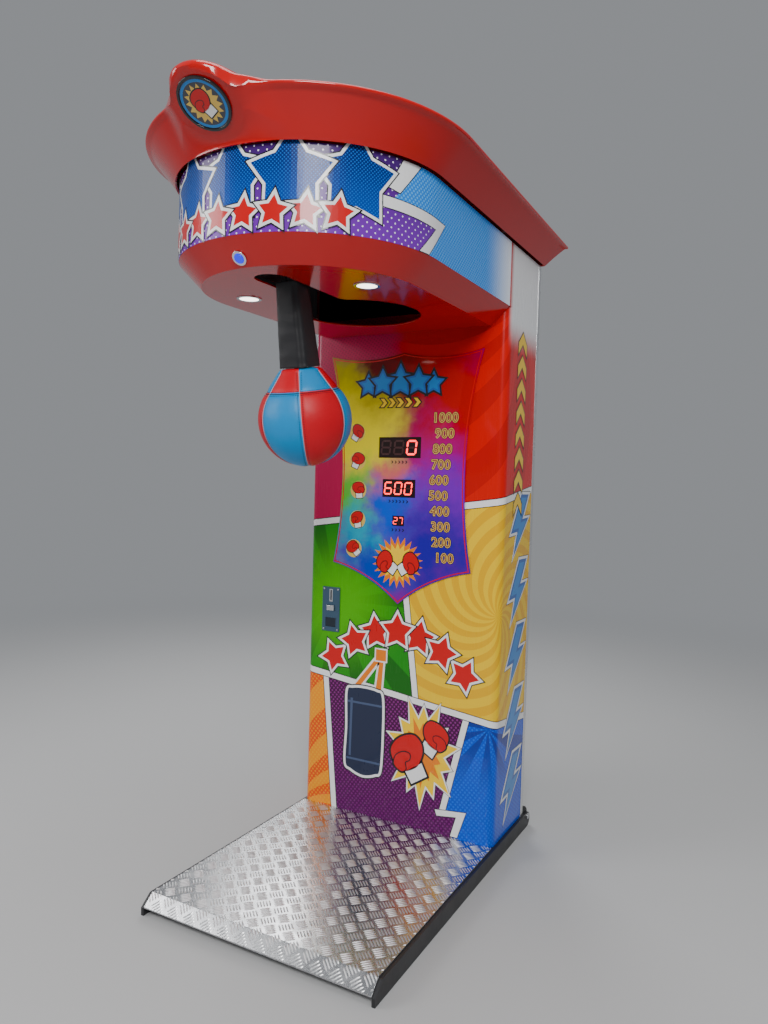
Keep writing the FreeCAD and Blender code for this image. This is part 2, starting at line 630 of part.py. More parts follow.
def display_modules():
    """The three digit modules, which look out through the panel's windows."""
    for label, name in (("score", "score"), ("high_score", "best"), ("credit", "credit")):
        node(f"{label}_display", box(f"{name}_left + module_gap",
                                     "-shield_sheet + lens_recess", f"{name}_low + module_gap",
                                     f"{name}_wide - 2*module_gap", "module_deep",
                                     f"{name}_high - 2*module_gap"))
    board = box("-board_wide/2", "board_back", "board_low", "board_wide", "board_sheet",
                "board_high")
    posts = [rod(f"{way}*(board_wide/2 - 10)", "skin", f"board_low + {up}", 4,
                 "board_back - skin", ALONG_Y) for way in (-1, 1) for up in ("10", "board_high - 10")]
    backs = [box(f"{name}_left + 4", "-shield_sheet + lens_recess + module_deep",
                 f"{name}_low + 4", f"{name}_wide - 8",
                 "board_back + shield_sheet - lens_recess - module_deep",
                 f"{name}_high - 8") for name in ("score", "best", "credit")]
    node("display_board", fuse(board, *posts, *backs))


# ---------------------------------------------------------------- coin door

def coin_plate():
    """A small steel plate with a coin slot, a reject button and a return flap."""
    left, low = "coin_left", "coin_low"
    middle = f"{left} + coin_wide/2"
    windows = [
        (f"{middle} - coin_slot_wide/2", f"{low} + coin_slot_up", "coin_slot_wide",
         "coin_slot_high"),
        (f"{middle} - reject_wide/2 - coin_play", f"{low} + reject_up - coin_play",
         "reject_wide + 2*coin_play", "reject_high + 2*coin_play"),
        (f"{middle} - flap_wide/2 - coin_play", f"{low} + flap_up - coin_play",
         "flap_wide + 2*coin_play", "flap_high + 2*coin_play")]
    plate("coin_plate", "XZ_Plane", (left, low, "coin_wide", "coin_high"), "coin_sheet", windows)
    screws = [rod(f"{left} + {x}", "-coin_sheet - 1.6", f"{low} + {z}", 2.8, 1.6, ALONG_Y)
              for x in ("6", "coin_wide - 6") for z in ("6", "coin_high - 6")]
    node("coin_plate_screws", group(*screws))
    button = box(f"{middle} - reject_wide/2", "-coin_sheet - reject_proud",
                 f"{low} + reject_up", "reject_wide", "reject_proud + coin_sheet + 3",
                 "reject_high")
    node("coin_reject_button", button)
    node("coin_return_flap", box(f"{middle} - flap_wide/2", "-coin_sheet + 0.5",
                                 f"{low} + flap_up", "flap_wide", "flap_sheet", "flap_high"))


def coin_works():
    """The coin selector, its return cup, the chute, the shelf and the cash box."""
    left, low = "coin_left + mech_inset", "coin_low"
    wide = "coin_wide - 2*mech_inset"
    body = box(left, "3 + reject_travel + seat_gap", f"{low} + reject_up - 8", wide,
               "mech_deep", "coin_high - reject_up - mech_inset + 8")
    lug = box(left, 0, f"{low} + coin_high - mech_inset - 8", wide,
              "3 + reject_travel + seat_gap", 8)
    slit = box("coin_left + coin_wide/2 - coin_slot_wide/2", -1, f"{low} + coin_slot_up",
               "coin_slot_wide", "mech_deep - 20", "coin_slot_high")
    cup = box(left, 0, f"{low} + mech_inset", wide, "cup_deep", "reject_up - 8 - mech_inset")
    hollow = box(f"{left} + 2", -1, f"{low} + mech_inset + 2", f"{wide} - 4", "cup_deep - 1",
                 "reject_up - 12 - mech_inset")
    node("coin_mechanism", cut(fuse(body, lug, cut(cup, hollow)), slit))
    chute_top = f"{low} + reject_up - 8"
    chute_low = "shelf_up + box_high + 4"
    tube = box(left, "cup_deep + 1", chute_low, wide, "chute_deep",
               f"{chute_top} - ({chute_low})")
    bore = box(f"{left} + 2", "cup_deep + 3", f"{chute_low} - 1", f"{wide} - 4",
               "chute_deep - 4", f"{chute_top} - ({chute_low}) + 2")
    node("coin_chute", cut(tube, bore))
    shelf = box("-cab_width/2 + skin", "corner_round", "shelf_up - 3", "cab_width - 2*skin",
                "mast_back - corner_round", 3)
    node("cash_shelf", shelf)
    outer = box("box_left", "box_front", "shelf_up", "box_wide", "box_deep", "box_high")
    inner = box("box_left + box_wall", "box_front + box_wall", "shelf_up + box_wall",
                "box_wide - 2*box_wall", "box_deep - 2*box_wall", "box_high")
    node("cash_box", cut(outer, inner))


# ---------------------------------------------------------------- swing mechanism

def at_pivot(y, z):
    """A point given from the pivot, as a pair of sheet formulas."""
    return f"-pivot_out + ({y})", f"pivot_up + ({z})"


def turned(angle, along, across):
    """Y and Z, from the pivot, of a point on the tab when the arm has turned by angle."""
    lean = math.radians(s.arm_lean + angle)
    way = (-math.sin(lean), math.cos(lean))
    rear = (math.cos(lean), math.sin(lean))
    return (along*way[0] + across*rear[0], along*way[1] + across*rear[1])


def buffer_solids(angle, side):
    """A rubber buffer and the bar that holds it, where the tab meets it at an angle."""
    near = s.tab_thick/2 + s.seat_gap
    lean = s.arm_lean + angle
    axis = Rotation(X, lean + (-90 if side > 0 else 90))
    y, z = turned(angle, s.buffer_at, side*near)
    rubber = Part.makeCylinder(s.buffer_round, s.buffer_long)
    rubber.Placement = Placement(Vector(0, y - s.pivot_out, z + s.pivot_up), axis)
    y, z = turned(angle, s.buffer_at, side*(near + s.buffer_long + s.bar_thick/2))
    bar = Part.makeBox(2*s.cheek_half, s.bar_thick, s.bar_wide,
                       Vector(-s.cheek_half, -s.bar_thick/2, -s.bar_wide/2))
    bar.Placement = Placement(Vector(0, y - s.pivot_out, z + s.pivot_up), Rotation(X, lean))
    return rubber, bar


def pivot_brackets():
    """Two cheeks under the front cross tube, with stop bars and the coil's shelf between."""
    front, back = -s.pivot_out - s.cheek_front, -s.pivot_out + s.cheek_back
    low = s.pivot_up - s.cheek_drop
    cheeks = [Part.makeBox(s.cheek_sheet, back - front, s.beam_up - low, Vector(x, front, low))
              for x in (s.cheek_half, -s.cheek_half - s.cheek_sheet)]
    hook_y, hook_z = -s.pivot_out - s.hook_out, s.pivot_up - s.hook_down
    coil_mid = hook_z + s.plunger_up
    shelf = Part.makeBox(2*s.cheek_half, s.coil_front - s.coil_back, 3,
                         Vector(-s.cheek_half, hook_y - s.coil_front, coil_mid - s.coil_half - 3))
    stops = [buffer_solids(0, 1), buffer_solids(s.swing, -1)]
    frame = cheeks[0].fuse([cheeks[1], shelf] + [bar for _, bar in stops])
    across = 2*(s.cheek_half + s.cheek_sheet) + 2
    for radius, y, z in ((s.bearing_round, -s.pivot_out, s.pivot_up),
                         (s.hook_pin, hook_y, hook_z)):
        frame = frame.cut(Part.makeCylinder(radius, across, Vector(-across/2, y, z), X))
    solid("pivot_brackets", frame)
    solid("stop_buffers", Part.makeCompound([rubber for rubber, _ in stops]))


def pivot_bearings():
    rings = []
    for x in ("cheek_half", "-cheek_half - cheek_sheet"):
        ring = rod(x, "-pivot_out", "pivot_up", "bearing_round - fixed_gap", "cheek_sheet", ALONG_X)
        bore = rod(x, "-pivot_out", "pivot_up", "shaft_round + run_gap", "cheek_sheet", ALONG_X)
        rings.append(cut(ring, bore))
    node("pivot_bearings", group(*rings))


def arm_frame():
    """The arm's own frame: its pivot, leaning so that the bag hangs back from it."""
    return Placement(Vector(0, -s.pivot_out, s.pivot_up), Rotation(X, s.arm_lean))


def swing_arm():
    shaft = rod("-shaft_half", 0, 0, "shaft_round", "2*shaft_half", ALONG_X)
    node("pivot_shaft", group(shaft), arm_frame())
    hub = rod("-hub_half", 0, 0, "hub_round", "2*hub_half", ALONG_X)
    tube = rod(0, 0, "-bag_drop + 30", "tube_round", "bag_drop - 30")
    foot = rod(0, 0, "-bag_drop + 20", "2*tube_round", 10)
    tab = box("-tab_wide/2", "-tab_thick/2", 0, "tab_wide", "tab_thick", "tab_long")
    bore = rod("-hub_half - 1", 0, 0, "shaft_round + fixed_gap", "2*hub_half + 2", ALONG_X)
    node("swing_arm", cut(fuse(hub, tube, foot, tab), bore), arm_frame())


def arm_sleeve():
    """A soft square tube over the arm, a little wider at its foot."""
    top, low = -s.sleeve_top, -s.bag_drop + s.bag_round + s.neck_rise + s.seat_gap

    def square(side, up):
        half = side/2
        return Part.makePolygon([Vector(x*half, y*half, up) for x, y in
                                 ((-1, -1), (1, -1), (1, 1), (-1, 1), (-1, -1))])
    outer = Part.makeLoft([square(s.sleeve_upper, top), square(s.sleeve_lower, low)], True, True)
    inner = Part.makeLoft([square(s.sleeve_upper - 2*s.sleeve_wall, top + 1),
                           square(s.sleeve_lower - 2*s.sleeve_wall, low - 1)], True, True)
    solid("arm_sleeve", outer.cut(inner), arm_frame())


def punch_bag():
    """A ball with a short conical neck that meets the sleeve, round the arm's foot."""
    centre, radius = -s.bag_drop, s.bag_round
    neck_up = centre + radius + s.neck_rise
    lift = neck_up - centre
    reach = math.hypot(lift, s.neck_round)
    touch = math.atan2(s.neck_round, lift) + math.acos(radius/reach)
    ring = Vector(radius*math.sin(touch), 0, centre + radius*math.cos(touch))
    low = Vector(0, 0, centre - radius)
    side = Vector(radius*math.sin(math.radians(110)), 0, centre + radius*math.cos(math.radians(110)))
    edges = [Part.Arc(low, side, ring).toShape(),
             Part.makeLine(ring, Vector(s.neck_round, 0, neck_up)),
             Part.makeLine(Vector(s.neck_round, 0, neck_up), Vector(0, 0, neck_up)),
             Part.makeLine(Vector(0, 0, neck_up), low)]
    ball = Part.Face(Part.Wire(edges)).revolve(Vector(), Z, 360)
    play = s.seat_gap
    bore = Part.makeCylinder(s.tube_round + play, 2*radius, Vector(0, 0, centre + 20))
    pocket = Part.makeCylinder(2*s.tube_round + play, 10 + 2*play,
                               Vector(0, 0, centre + 20 - play))
    solid("punch_bag", ball.cut(bore).cut(pocket), arm_frame())


def speed_sensor():
    """A toothed disc on the shaft's end, and the fork that reads it."""
    disc = Part.makeCylinder(s.disc_round, s.disc_thick, Vector(s.disc_out, 0, 0), X)
    disc = disc.cut(Part.makeCylinder(s.shaft_round + s.fixed_gap, s.disc_thick + 2,
                                      Vector(s.disc_out - 1, 0, 0), X))
    teeth = 12
    for tooth in range(teeth):
        angle = 2*math.pi*tooth/teeth
        disc = disc.cut(Part.makeCylinder(2, s.disc_thick + 2, Vector(
            s.disc_out - 1, (s.disc_round - 1)*math.cos(angle),
            (s.disc_round - 1)*math.sin(angle)), X))
    solid("encoder_disc", disc, arm_frame())
    cheek = "cheek_half + cheek_sheet"
    body = box(cheek, "-pivot_out - 8", "pivot_up + disc_round - 8",
               f"disc_out + disc_thick + 6 - ({cheek})", 16, 26)
    slot = box("disc_out - 1.5", "-pivot_out - 9", "pivot_up + disc_round - 9",
               "disc_thick + 3", 18, 14)
    node("speed_sensor", cut(body, slot))


def latch():
    """The hook that holds the arm up, its pin, and the coil whose plunger turns it."""
    y, z = -s.hook_out, -s.hook_down
    half = s.hook_stem/2
    top = s.hook_high
    outline = [(-half, 0), (-half, top), (s.hook_rear, top), (s.hook_rear, top - s.hook_nose),
               (half, top - s.hook_nose), (half, 0)]
    shape = prism([Vector(-s.hook_thick/2, a, b) for a, b in outline],
                  Vector(s.hook_thick, 0, 0))
    hub = Part.makeCylinder(half, s.hook_thick, Vector(-s.hook_thick/2, 0, 0), X)
    bore = Part.makeCylinder(s.hook_pin + s.run_gap, 2*s.hook_thick,
                             Vector(-s.hook_thick, 0, 0), X)
    hook_axis = Placement(Vector(0, y - s.pivot_out, z + s.pivot_up), Rotation(X, s.hook_open))
    solid("latch_hook", shape.fuse(hub).cut(bore), hook_axis)
    pin_half = "cheek_half + cheek_sheet"
    node("latch_pin", rod(f"-({pin_half})", "-pivot_out - hook_out", "pivot_up - hook_down",
                          "hook_pin - fixed_gap", f"2*({pin_half})", ALONG_X))
    rod_y = "-pivot_out - hook_out - plunger_tip - plunger_long"
    rod_z = "pivot_up - hook_down + plunger_up"
    node("latch_plunger", rod(0, rod_y, rod_z, "plunger_round", "plunger_long", ALONG_Y))
    coil = box("-coil_half", "-pivot_out - hook_out - coil_front", f"{rod_z} - coil_half",
               "2*coil_half", "coil_front - coil_back", "2*coil_half")
    bore = rod(0, "-pivot_out - hook_out - coil_front - 1", rod_z, "plunger_round + run_gap",
               "coil_front", ALONG_Y)
    node("latch_coil", cut(coil, bore))


# ---------------------------------------------------------------- electrical

def electrical():
    """Power supply and control board on the mast, the speaker and the mains inlet."""
    wide = "psu_wide"
    node("power_supply", box(f"-{wide}/2", "mast_back - psu_deep", "shelf_up + 220",
                             wide, "psu_deep", "psu_high"))
    carrier = box("-mast_half - tube/2", "mast_back + tube", "shelf_up + 210",
                  "2*mast_half + tube", 2, "psu_high + 20")
    lap = box(f"-{wide}/2 + 5", "mast_back", "shelf_up + 240", f"{wide} - 10", "tube", 60)
    node("equipment_plate", fuse(carrier, lap))
    board = box(-110, "mast_back - 10", "shelf_up + 460", 220, 2, 170)
    posts = [box(x, "mast_back - 8", f"shelf_up + {up}", 12, 8, 12)
             for x in (-140, 128) for up in (470, 605)]
    strips = [box(-140, "mast_back - 10", f"shelf_up + {up}", 280, 2, 12) for up in (470, 605)]
    node("control_board", fuse(board, *posts, *strips))
    magnet = rod(175, "skin + 24", "tread_top + 120", "speaker_round/2", 20, ALONG_Y)
    basket = rod(175, "skin", "tread_top + 120", "speaker_round", 6, ALONG_Y)
    cone = rod(175, "skin", "tread_top + 120", "0.7*speaker_round", 26, ALONG_Y)
    node("speaker", fuse(basket, cone, magnet))
    inlet = box("inlet_left", "cab_depth", "inlet_low", "inlet_wide", 2.5, "inlet_high")
    shell = box("inlet_left + 4", "cab_depth - inlet_deep", "inlet_low + 4", "inlet_wide - 8",
                "inlet_deep", "inlet_high - 8")
    socket = box("inlet_left + 8", "cab_depth - 16", "inlet_low + 7", "inlet_wide - 16", 30,
                 "inlet_high - 14")
    pins = [box(f"inlet_left + inlet_wide/2 - 1 + {at}", "cab_depth - 17",
                "inlet_low + inlet_high/2 - 2", 2, 12, 4) for at in (-7, 0, 7)]
    node("mains_inlet", fuse(cut(fuse(inlet, shell), socket), *pins))


base_frame()
tread_plate()
tread_screws()
transport_wheels()
front_panel()
side_panels()
rear_of_cabinet()
corner_trims()
mast_frame()
head_rim()
marquee_band()
marquee_lamps()
cap_moulding()
badge()
downlights()
start_button()
display_panel()
display_modules()
coin_plate()
coin_works()
pivot_brackets()
pivot_bearings()
swing_arm()
arm_sleeve()
punch_bag()
speed_sensor()
latch()
electrical()
doc.recompute()

for item in doc.Objects:
    if "Invalid" in item.State or "Error" in item.State:
        raise RuntimeError(f"{item.Label} failed: {item.State}")
os.makedirs("parts", exist_ok=True)
for item in parts:
    if item.Shape.isNull() or not item.Shape.isValid():
        raise RuntimeError(f"{item.Label} has no valid shape")
    item.Shape.exportStep(f"parts/{item.Label}.step")
print(len(parts), "parts written")
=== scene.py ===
"""Looks of a boxing punch machine, laid out as an add-on.

Metres, in the machine's own frame: the origin is on the floor under the cabinet's front face,
+Z is up, +X is to the player's right, and the player stands on the -Y side.
"""
import json
import math

import bmesh
import bpy
from bpy.props import FloatProperty, FloatVectorProperty, IntProperty, PointerProperty
from mathutils import Matrix, Vector, noise
from mathutils.bvhtree import BVHTree

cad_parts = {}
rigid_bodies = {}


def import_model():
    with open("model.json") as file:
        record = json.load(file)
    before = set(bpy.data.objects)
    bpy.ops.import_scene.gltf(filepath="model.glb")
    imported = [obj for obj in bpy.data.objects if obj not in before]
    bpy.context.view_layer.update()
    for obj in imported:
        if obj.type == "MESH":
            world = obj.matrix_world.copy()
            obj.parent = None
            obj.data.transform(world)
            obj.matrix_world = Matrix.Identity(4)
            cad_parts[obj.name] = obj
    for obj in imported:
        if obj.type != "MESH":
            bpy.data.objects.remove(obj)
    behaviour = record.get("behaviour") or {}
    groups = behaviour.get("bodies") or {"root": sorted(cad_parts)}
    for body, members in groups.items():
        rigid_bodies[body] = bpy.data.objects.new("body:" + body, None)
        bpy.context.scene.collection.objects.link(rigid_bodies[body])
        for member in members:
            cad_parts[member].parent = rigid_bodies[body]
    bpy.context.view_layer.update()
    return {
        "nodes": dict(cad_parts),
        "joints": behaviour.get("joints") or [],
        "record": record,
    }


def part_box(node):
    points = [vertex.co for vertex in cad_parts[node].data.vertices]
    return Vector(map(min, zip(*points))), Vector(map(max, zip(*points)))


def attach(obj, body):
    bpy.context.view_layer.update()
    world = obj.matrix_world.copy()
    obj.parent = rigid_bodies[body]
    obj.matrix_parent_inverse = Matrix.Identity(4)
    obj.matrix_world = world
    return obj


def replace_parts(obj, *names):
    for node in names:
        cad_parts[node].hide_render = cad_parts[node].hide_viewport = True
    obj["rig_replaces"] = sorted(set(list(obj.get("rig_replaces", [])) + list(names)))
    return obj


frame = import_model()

bl_info = {
    "name": "Boxing Punch Machine",
    "version": (1, 0, 0),
    "blender": (4, 5, 0),
    "location": "3D View > Sidebar > Punch Machine",
    "description": "Builds the finished surfaces of a boxing punch machine",
    "category": "Object",
}


def low(node):
    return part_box(node)[0]


def high(node):
    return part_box(node)[1]


HALF = high("front_panel").x
BACK = high("right_side_panel").y
DECK_UP = high("tread_plate").z
BAND_LOW = low("marquee_band").z
BAND_TOP = high("marquee_band").z
HEAD_FRONT = low("head_rim").y
HEAD_MID = HEAD_FRONT + HALF


# ---------------------------------------------------------------- settings

class MachineSizes(bpy.types.PropertyGroup):
    """Sizes that a user would change."""
    bar_cell: FloatProperty(name="Bar cell", description="Side of one group of tread bars",
                            default=0.034, unit="LENGTH")
    bar_high: FloatProperty(name="Bar height", description="How far a tread bar stands up",
                            default=0.0014, unit="LENGTH")
    gores: IntProperty(name="Gores", description="Leather panels round the bag", default=6)
    seam_up: FloatProperty(name="Shoulder seam", description="Seam height above bag middle",
                           default=0.067, unit="LENGTH")
    piping: FloatProperty(name="Piping", description="Radius of the piping", default=0.0009,
                          unit="LENGTH")
    ink: FloatProperty(name="Ink step", description="Thickness of one printed layer",
                       default=0.00015, unit="LENGTH")


class MachineColours(bpy.types.PropertyGroup):
    """Main colours."""
    red: FloatVectorProperty(name="Moulding red", description="Cap and rim", subtype="COLOR",
                             default=(0.54, 0.0, 0.0))
    bag_red: FloatVectorProperty(name="Bag red", description="Red leather", subtype="COLOR",
                                 default=(0.62, 0.0, 0.012))
    bag_blue: FloatVectorProperty(name="Bag blue", description="Blue leather", subtype="COLOR",
                                  default=(0.0, 0.26, 0.60))
    steel: FloatVectorProperty(name="Coin plate", description="Steel blue", subtype="COLOR",
                               default=(0.07, 0.13, 0.2))


def sizes():
    return bpy.context.scene.machine_sizes


def colours():
    return bpy.context.scene.machine_colours


# ---------------------------------------------------------------- mesh helpers

def deselect():
    for item in bpy.context.selected_objects:
        item.select_set(False)


def activate(item):
    deselect()
    item.select_set(True)
    bpy.context.view_layer.objects.active = item


def linked(name, data):
    item = bpy.data.objects.new(name, data)
    bpy.context.scene.collection.objects.link(item)
    return item


def from_lists(name, points, faces):
    mesh = bpy.data.meshes.new(name)
    mesh.from_pydata([tuple(p) for p in points], [], faces)
    mesh.validate()
    return linked(name, mesh)


def from_bmesh(name, mesh):
    data = bpy.data.meshes.new(name)
    mesh.to_mesh(data)
    mesh.free()
    return linked(name, data)


def cut(mesh, point, normal, clear=False):
    """Splits a mesh along a plane, and may drop what lies beyond it."""
    bmesh.ops.bisect_plane(mesh, geom=mesh.verts[:] + mesh.edges[:] + mesh.faces[:],
                           plane_co=point, plane_no=normal, clear_outer=clear)


def ring_faces(rows, size, wrap=False):
    """Quads between closed rows of points; the last row joins the first when it wraps."""
    return [(r*size + c, r*size + (c + 1) % size, (r + 1) % rows*size + (c + 1) % size,
             (r + 1) % rows*size + c)
            for r in range(rows if wrap else rows - 1) for c in range(size)]


def apply_modifier(item, kind, **settings):
    activate(item)
    modifier = item.modifiers.new(kind.title(), kind)
    for key, value in settings.items():
        setattr(modifier, key, value)
    bpy.ops.object.modifier_apply(modifier=modifier.name)


def smooth(item, degrees=35):
    activate(item)
    bpy.ops.object.shade_smooth_by_angle(angle=math.radians(degrees))


def outward(item):
    """Recalculates the normals of a closed or merged piece."""
    mesh = bmesh.new()
    mesh.from_mesh(item.data)
    bmesh.ops.remove_doubles(mesh, verts=mesh.verts, dist=1e-6)
    bmesh.ops.recalc_face_normals(mesh, faces=mesh.faces)
    mesh.to_mesh(item.data)
    mesh.free()


def place(item):
    """Moves a primitive's place into its mesh, so that the object sits at the origin."""
    activate(item)
    bpy.ops.object.transform_apply(location=True, rotation=True, scale=True)


def finish_piece(item, body, slot, *materials):
    item.data.materials.clear()
    for material in materials:
        item.data.materials.append(material)
    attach(item, body)
    return item


def softened(node, width=0.0006, segments=2, name=None, angle=30):
    """A merged copy of a CAD node with its sharp edges rounded, which stands for it."""
    source = frame["nodes"][node]
    piece = linked(name or node + "_finished", source.data.copy())
    mesh = bmesh.new()
    mesh.from_mesh(piece.data)
    bmesh.ops.remove_doubles(mesh, verts=mesh.verts, dist=1e-5)
    bmesh.ops.dissolve_limit(mesh, angle_limit=math.radians(0.6), verts=mesh.verts,
                             edges=mesh.edges)
    mesh.to_mesh(piece.data)
    mesh.free()
    if width:
        apply_modifier(piece, "BEVEL", width=width, segments=segments, limit_method="ANGLE",
                       angle_limit=math.radians(angle), harden_normals=False)
    smooth(piece, 40)
    apply_modifier(piece, "WEIGHTED_NORMAL", keep_sharp=True)
    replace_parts(piece, node)
    return piece


def body_of(node):
    return next(b for b, names in frame["record"]["behaviour"]["bodies"].items()
                if node in names)


def slot_of(node):
    return next(s["material_slot"] for s in frame["record"]["subparts"] if s["node"] == node)


def refinish(node, material, width=0.0006, segments=2, angle=30):
    piece = softened(node, width, segments, angle=angle)
    return finish_piece(piece, body_of(node), slot_of(node), material)


# ---------------------------------------------------------------- flat printed shapes

def curve_through(points, steps=6):
    """A smooth closed outline through a few points."""
    out = []
    count = len(points)
    for i in range(count):
        a, b, c, d = (Vector(points[(i + k - 1) % count]) for k in range(4))
        for k in range(steps):
            t = k/steps
            out.append(0.5*(2*b + (c - a)*t + (2*a - 5*b + 4*c - d)*t*t
                            + (3*b - a - 3*c + d)*t**3))
    return out


def grown(points, by, limit=2.2):
    """The outline moved outwards by a distance, with limited mitres."""
    points = [Vector(p) for p in points]
    area = sum(a.x*b.y - b.x*a.y for a, b in zip(points, points[1:] + points[:1]))
    side = -1 if area < 0 else 1
    out = []
    for before, here, after in zip(points[-1:] + points[:-1], points, points[1:] + points[:1]):
        first, second = (here - before).normalized(), (after - here).normalized()
        normal = Vector((first.y + second.y, -first.x - second.x))*side
        if normal.length < 1e-6:
            normal = Vector((first.y, -first.x))*side
        normal.normalize()
        lean = max(1/limit, normal.dot(Vector((first.y, -first.x))*side))
        out.append(here + normal*(by/lean))
    return out


def around(at, reaches, wide=1.0, tall=1.0, turn=0.0):
    """Evenly spaced points round a centre, at their own distances from it."""
    step = 2*math.pi/len(reaches)
    return [Vector((at[0] + reach*wide*math.cos(turn + n*step),
                    at[1] + reach*tall*math.sin(turn + n*step)))
            for n, reach in enumerate(reaches)]


def star(at, radius, inner=0.45, turn=90.0):
    return around(at, [radius, radius*inner]*5, turn=math.radians(turn))


def moved(points, at, size=1.0, turn=0.0, flip=1):
    cos, sin = math.cos(math.radians(turn)), math.sin(math.radians(turn))
    return [Vector((at[0] + size*(p[0]*flip*cos - p[1]*sin),
                    at[1] + size*(p[0]*flip*sin + p[1]*cos))) for p in points]


GLOVE_FIST = [(-0.30, -0.20), (0.02, -0.26), (0.20, -0.18), (0.38, -0.04), (0.47, 0.16),
              (0.42, 0.38), (0.20, 0.50), (-0.08, 0.52), (-0.32, 0.42), (-0.42, 0.20),
              (-0.38, -0.02)]
GLOVE_THUMB = [(-0.46, 0.08), (-0.30, 0.22), (-0.08, 0.20), (0.04, 0.08), (-0.04, -0.02),
               (-0.18, -0.02), (-0.26, -0.16), (-0.40, -0.14)]
GLOVE_CUFF = [(-0.33, -0.52), (0.14, -0.56), (0.20, -0.24), (-0.30, -0.20)]


def glove(at, size, turn=0.0, flip=1):
    """Fist, thumb and cuff outlines of a plain boxing glove."""
    fist = moved(curve_through(GLOVE_FIST), at, size, turn, flip)
    thumb = moved(curve_through(GLOVE_THUMB), at, size, turn, flip)
    cuff = moved(GLOVE_CUFF, at, size, turn, flip)
    return fist, thumb, cuff


def on_front(u, v, h):
    return Vector((u, -h, v))


def on_display(u, v, h):
    return Vector((u, low("display_panel").y - h, v))


def on_right(u, v, h):
    return Vector((HALF + h, u, v))


def on_left(u, v, h):
    return Vector((-HALF - h, u, v))


def on_band(u, v, h):
    """Round the head: u runs from the middle of its front towards +X."""
    quarter = HALF*math.pi/2
    if abs(u) <= quarter:
        angle = u/HALF
        return Vector(((HALF + h)*math.sin(angle), HEAD_MID - (HALF + h)*math.cos(angle), v))
    side = math.copysign(1, u)
    return Vector((side*(HALF + h), HEAD_MID + abs(u) - quarter, v))


def printed(name, shapes, surface, layer, material, thick=1, step=0.0, body="cabinet",
            slot="printed_panel"):
    """Thin printed shapes laid on a surface at a layer: outlines in its flat (u, v).

    A pair of outlines makes a frame. The material may be the name of an ink.
    """
    if isinstance(material, str):
        material = ink(material)
    mesh = bmesh.new()
    for outline in shapes:
        rings = outline if isinstance(outline, tuple) else (outline,)
        if len(rings) == 1:
            corners = [mesh.verts.new((p[0], p[1], 0)) for p in rings[0]]
            mesh.faces.new(corners)
        else:
            outer, inner = ([mesh.verts.new((p[0], p[1], 0)) for p in ring] for ring in rings)
            count = len(outer)
            for i in range(count):
                k = (i + 1) % count
                mesh.faces.new((outer[i], outer[k], inner[k], inner[i]))
    mesh.normal_update()
    bmesh.ops.triangulate(mesh, faces=mesh.faces)
    if step:
        reach = max(abs(v.co.x) for v in mesh.verts)
        at = -reach + step*0.5
        while at < reach:
            cut(mesh, (at, 0, 0), (1, 0, 0))
            at += step
    for face in mesh.faces:
        if face.normal.z < 0:
            face.normal_flip()
    raised = bmesh.ops.extrude_face_region(mesh, geom=mesh.faces[:])
    tops = {g for g in raised["geom"] if isinstance(g, bmesh.types.BMVert)}
    for vert in mesh.verts:
        height = (layer + (thick if vert in tops else 0))*sizes().ink
        vert.co = surface(vert.co.x, vert.co.y, height)
    bmesh.ops.recalc_face_normals(mesh, faces=mesh.faces)
    return finish_piece(from_bmesh(name, mesh), body, slot, material)


# ---------------------------------------------------------------- shader groups

def value_node(tree, kind, *inputs, operation=None, output=0, **settings):
    """Adds a node, sets or links its inputs in order, and gives one of its outputs."""
    item = tree.nodes.new(kind)
    if operation:
        item.operation = operation
    for key, value in settings.items():
        setattr(item, key, value)
    put(item, {n: value for n, value in enumerate(inputs) if value is not None})
    return item.outputs[output]


def put(item, values):
    """Sets a node's inputs, or links sockets to them, by name or number."""
    for key, value in values.items():
        if isinstance(value, bpy.types.NodeSocket):
            item.id_data.links.new(value, item.inputs[key])
        else:
            item.inputs[key].default_value = value


def split(tree, vector):
    """The x, y and z of a vector."""
    return value_node(tree, "ShaderNodeSeparateXYZ", vector).node.outputs[:]


def joined(tree, *parts):
    return value_node(tree, "ShaderNodeCombineXYZ", *parts)


def scaled_by(tree, vector, factor):
    return value_node(tree, "ShaderNodeVectorMath", vector, None, None, factor,
                      operation="SCALE")


def noise_node(tree, where, scale, *rest, output=0):
    """A noise texture: rest holds its detail and roughness."""
    return value_node(tree, "ShaderNodeTexNoise", where, None, scale, *rest, output=output)


def maths(tree, operation, a, b=None, c=None, clamp=False):
    return value_node(tree, "ShaderNodeMath", a, b, c, operation=operation, use_clamp=clamp)


def vectors(tree, operation, a, b=None, output=0):
    return value_node(tree, "ShaderNodeVectorMath", a, b, operation=operation, output=output)


def new_group(name, inputs, outputs):
    group = bpy.data.node_groups.new(name, "ShaderNodeTree")
    for label, kind, default in inputs:
        socket = group.interface.new_socket(label, in_out="INPUT", socket_type=kind)
        if default is not None:
            socket.default_value = default
    for label, kind in outputs:
        group.interface.new_socket(label, in_out="OUTPUT", socket_type=kind)
    return group, group.nodes.new("NodeGroupInput"), group.nodes.new("NodeGroupOutput")


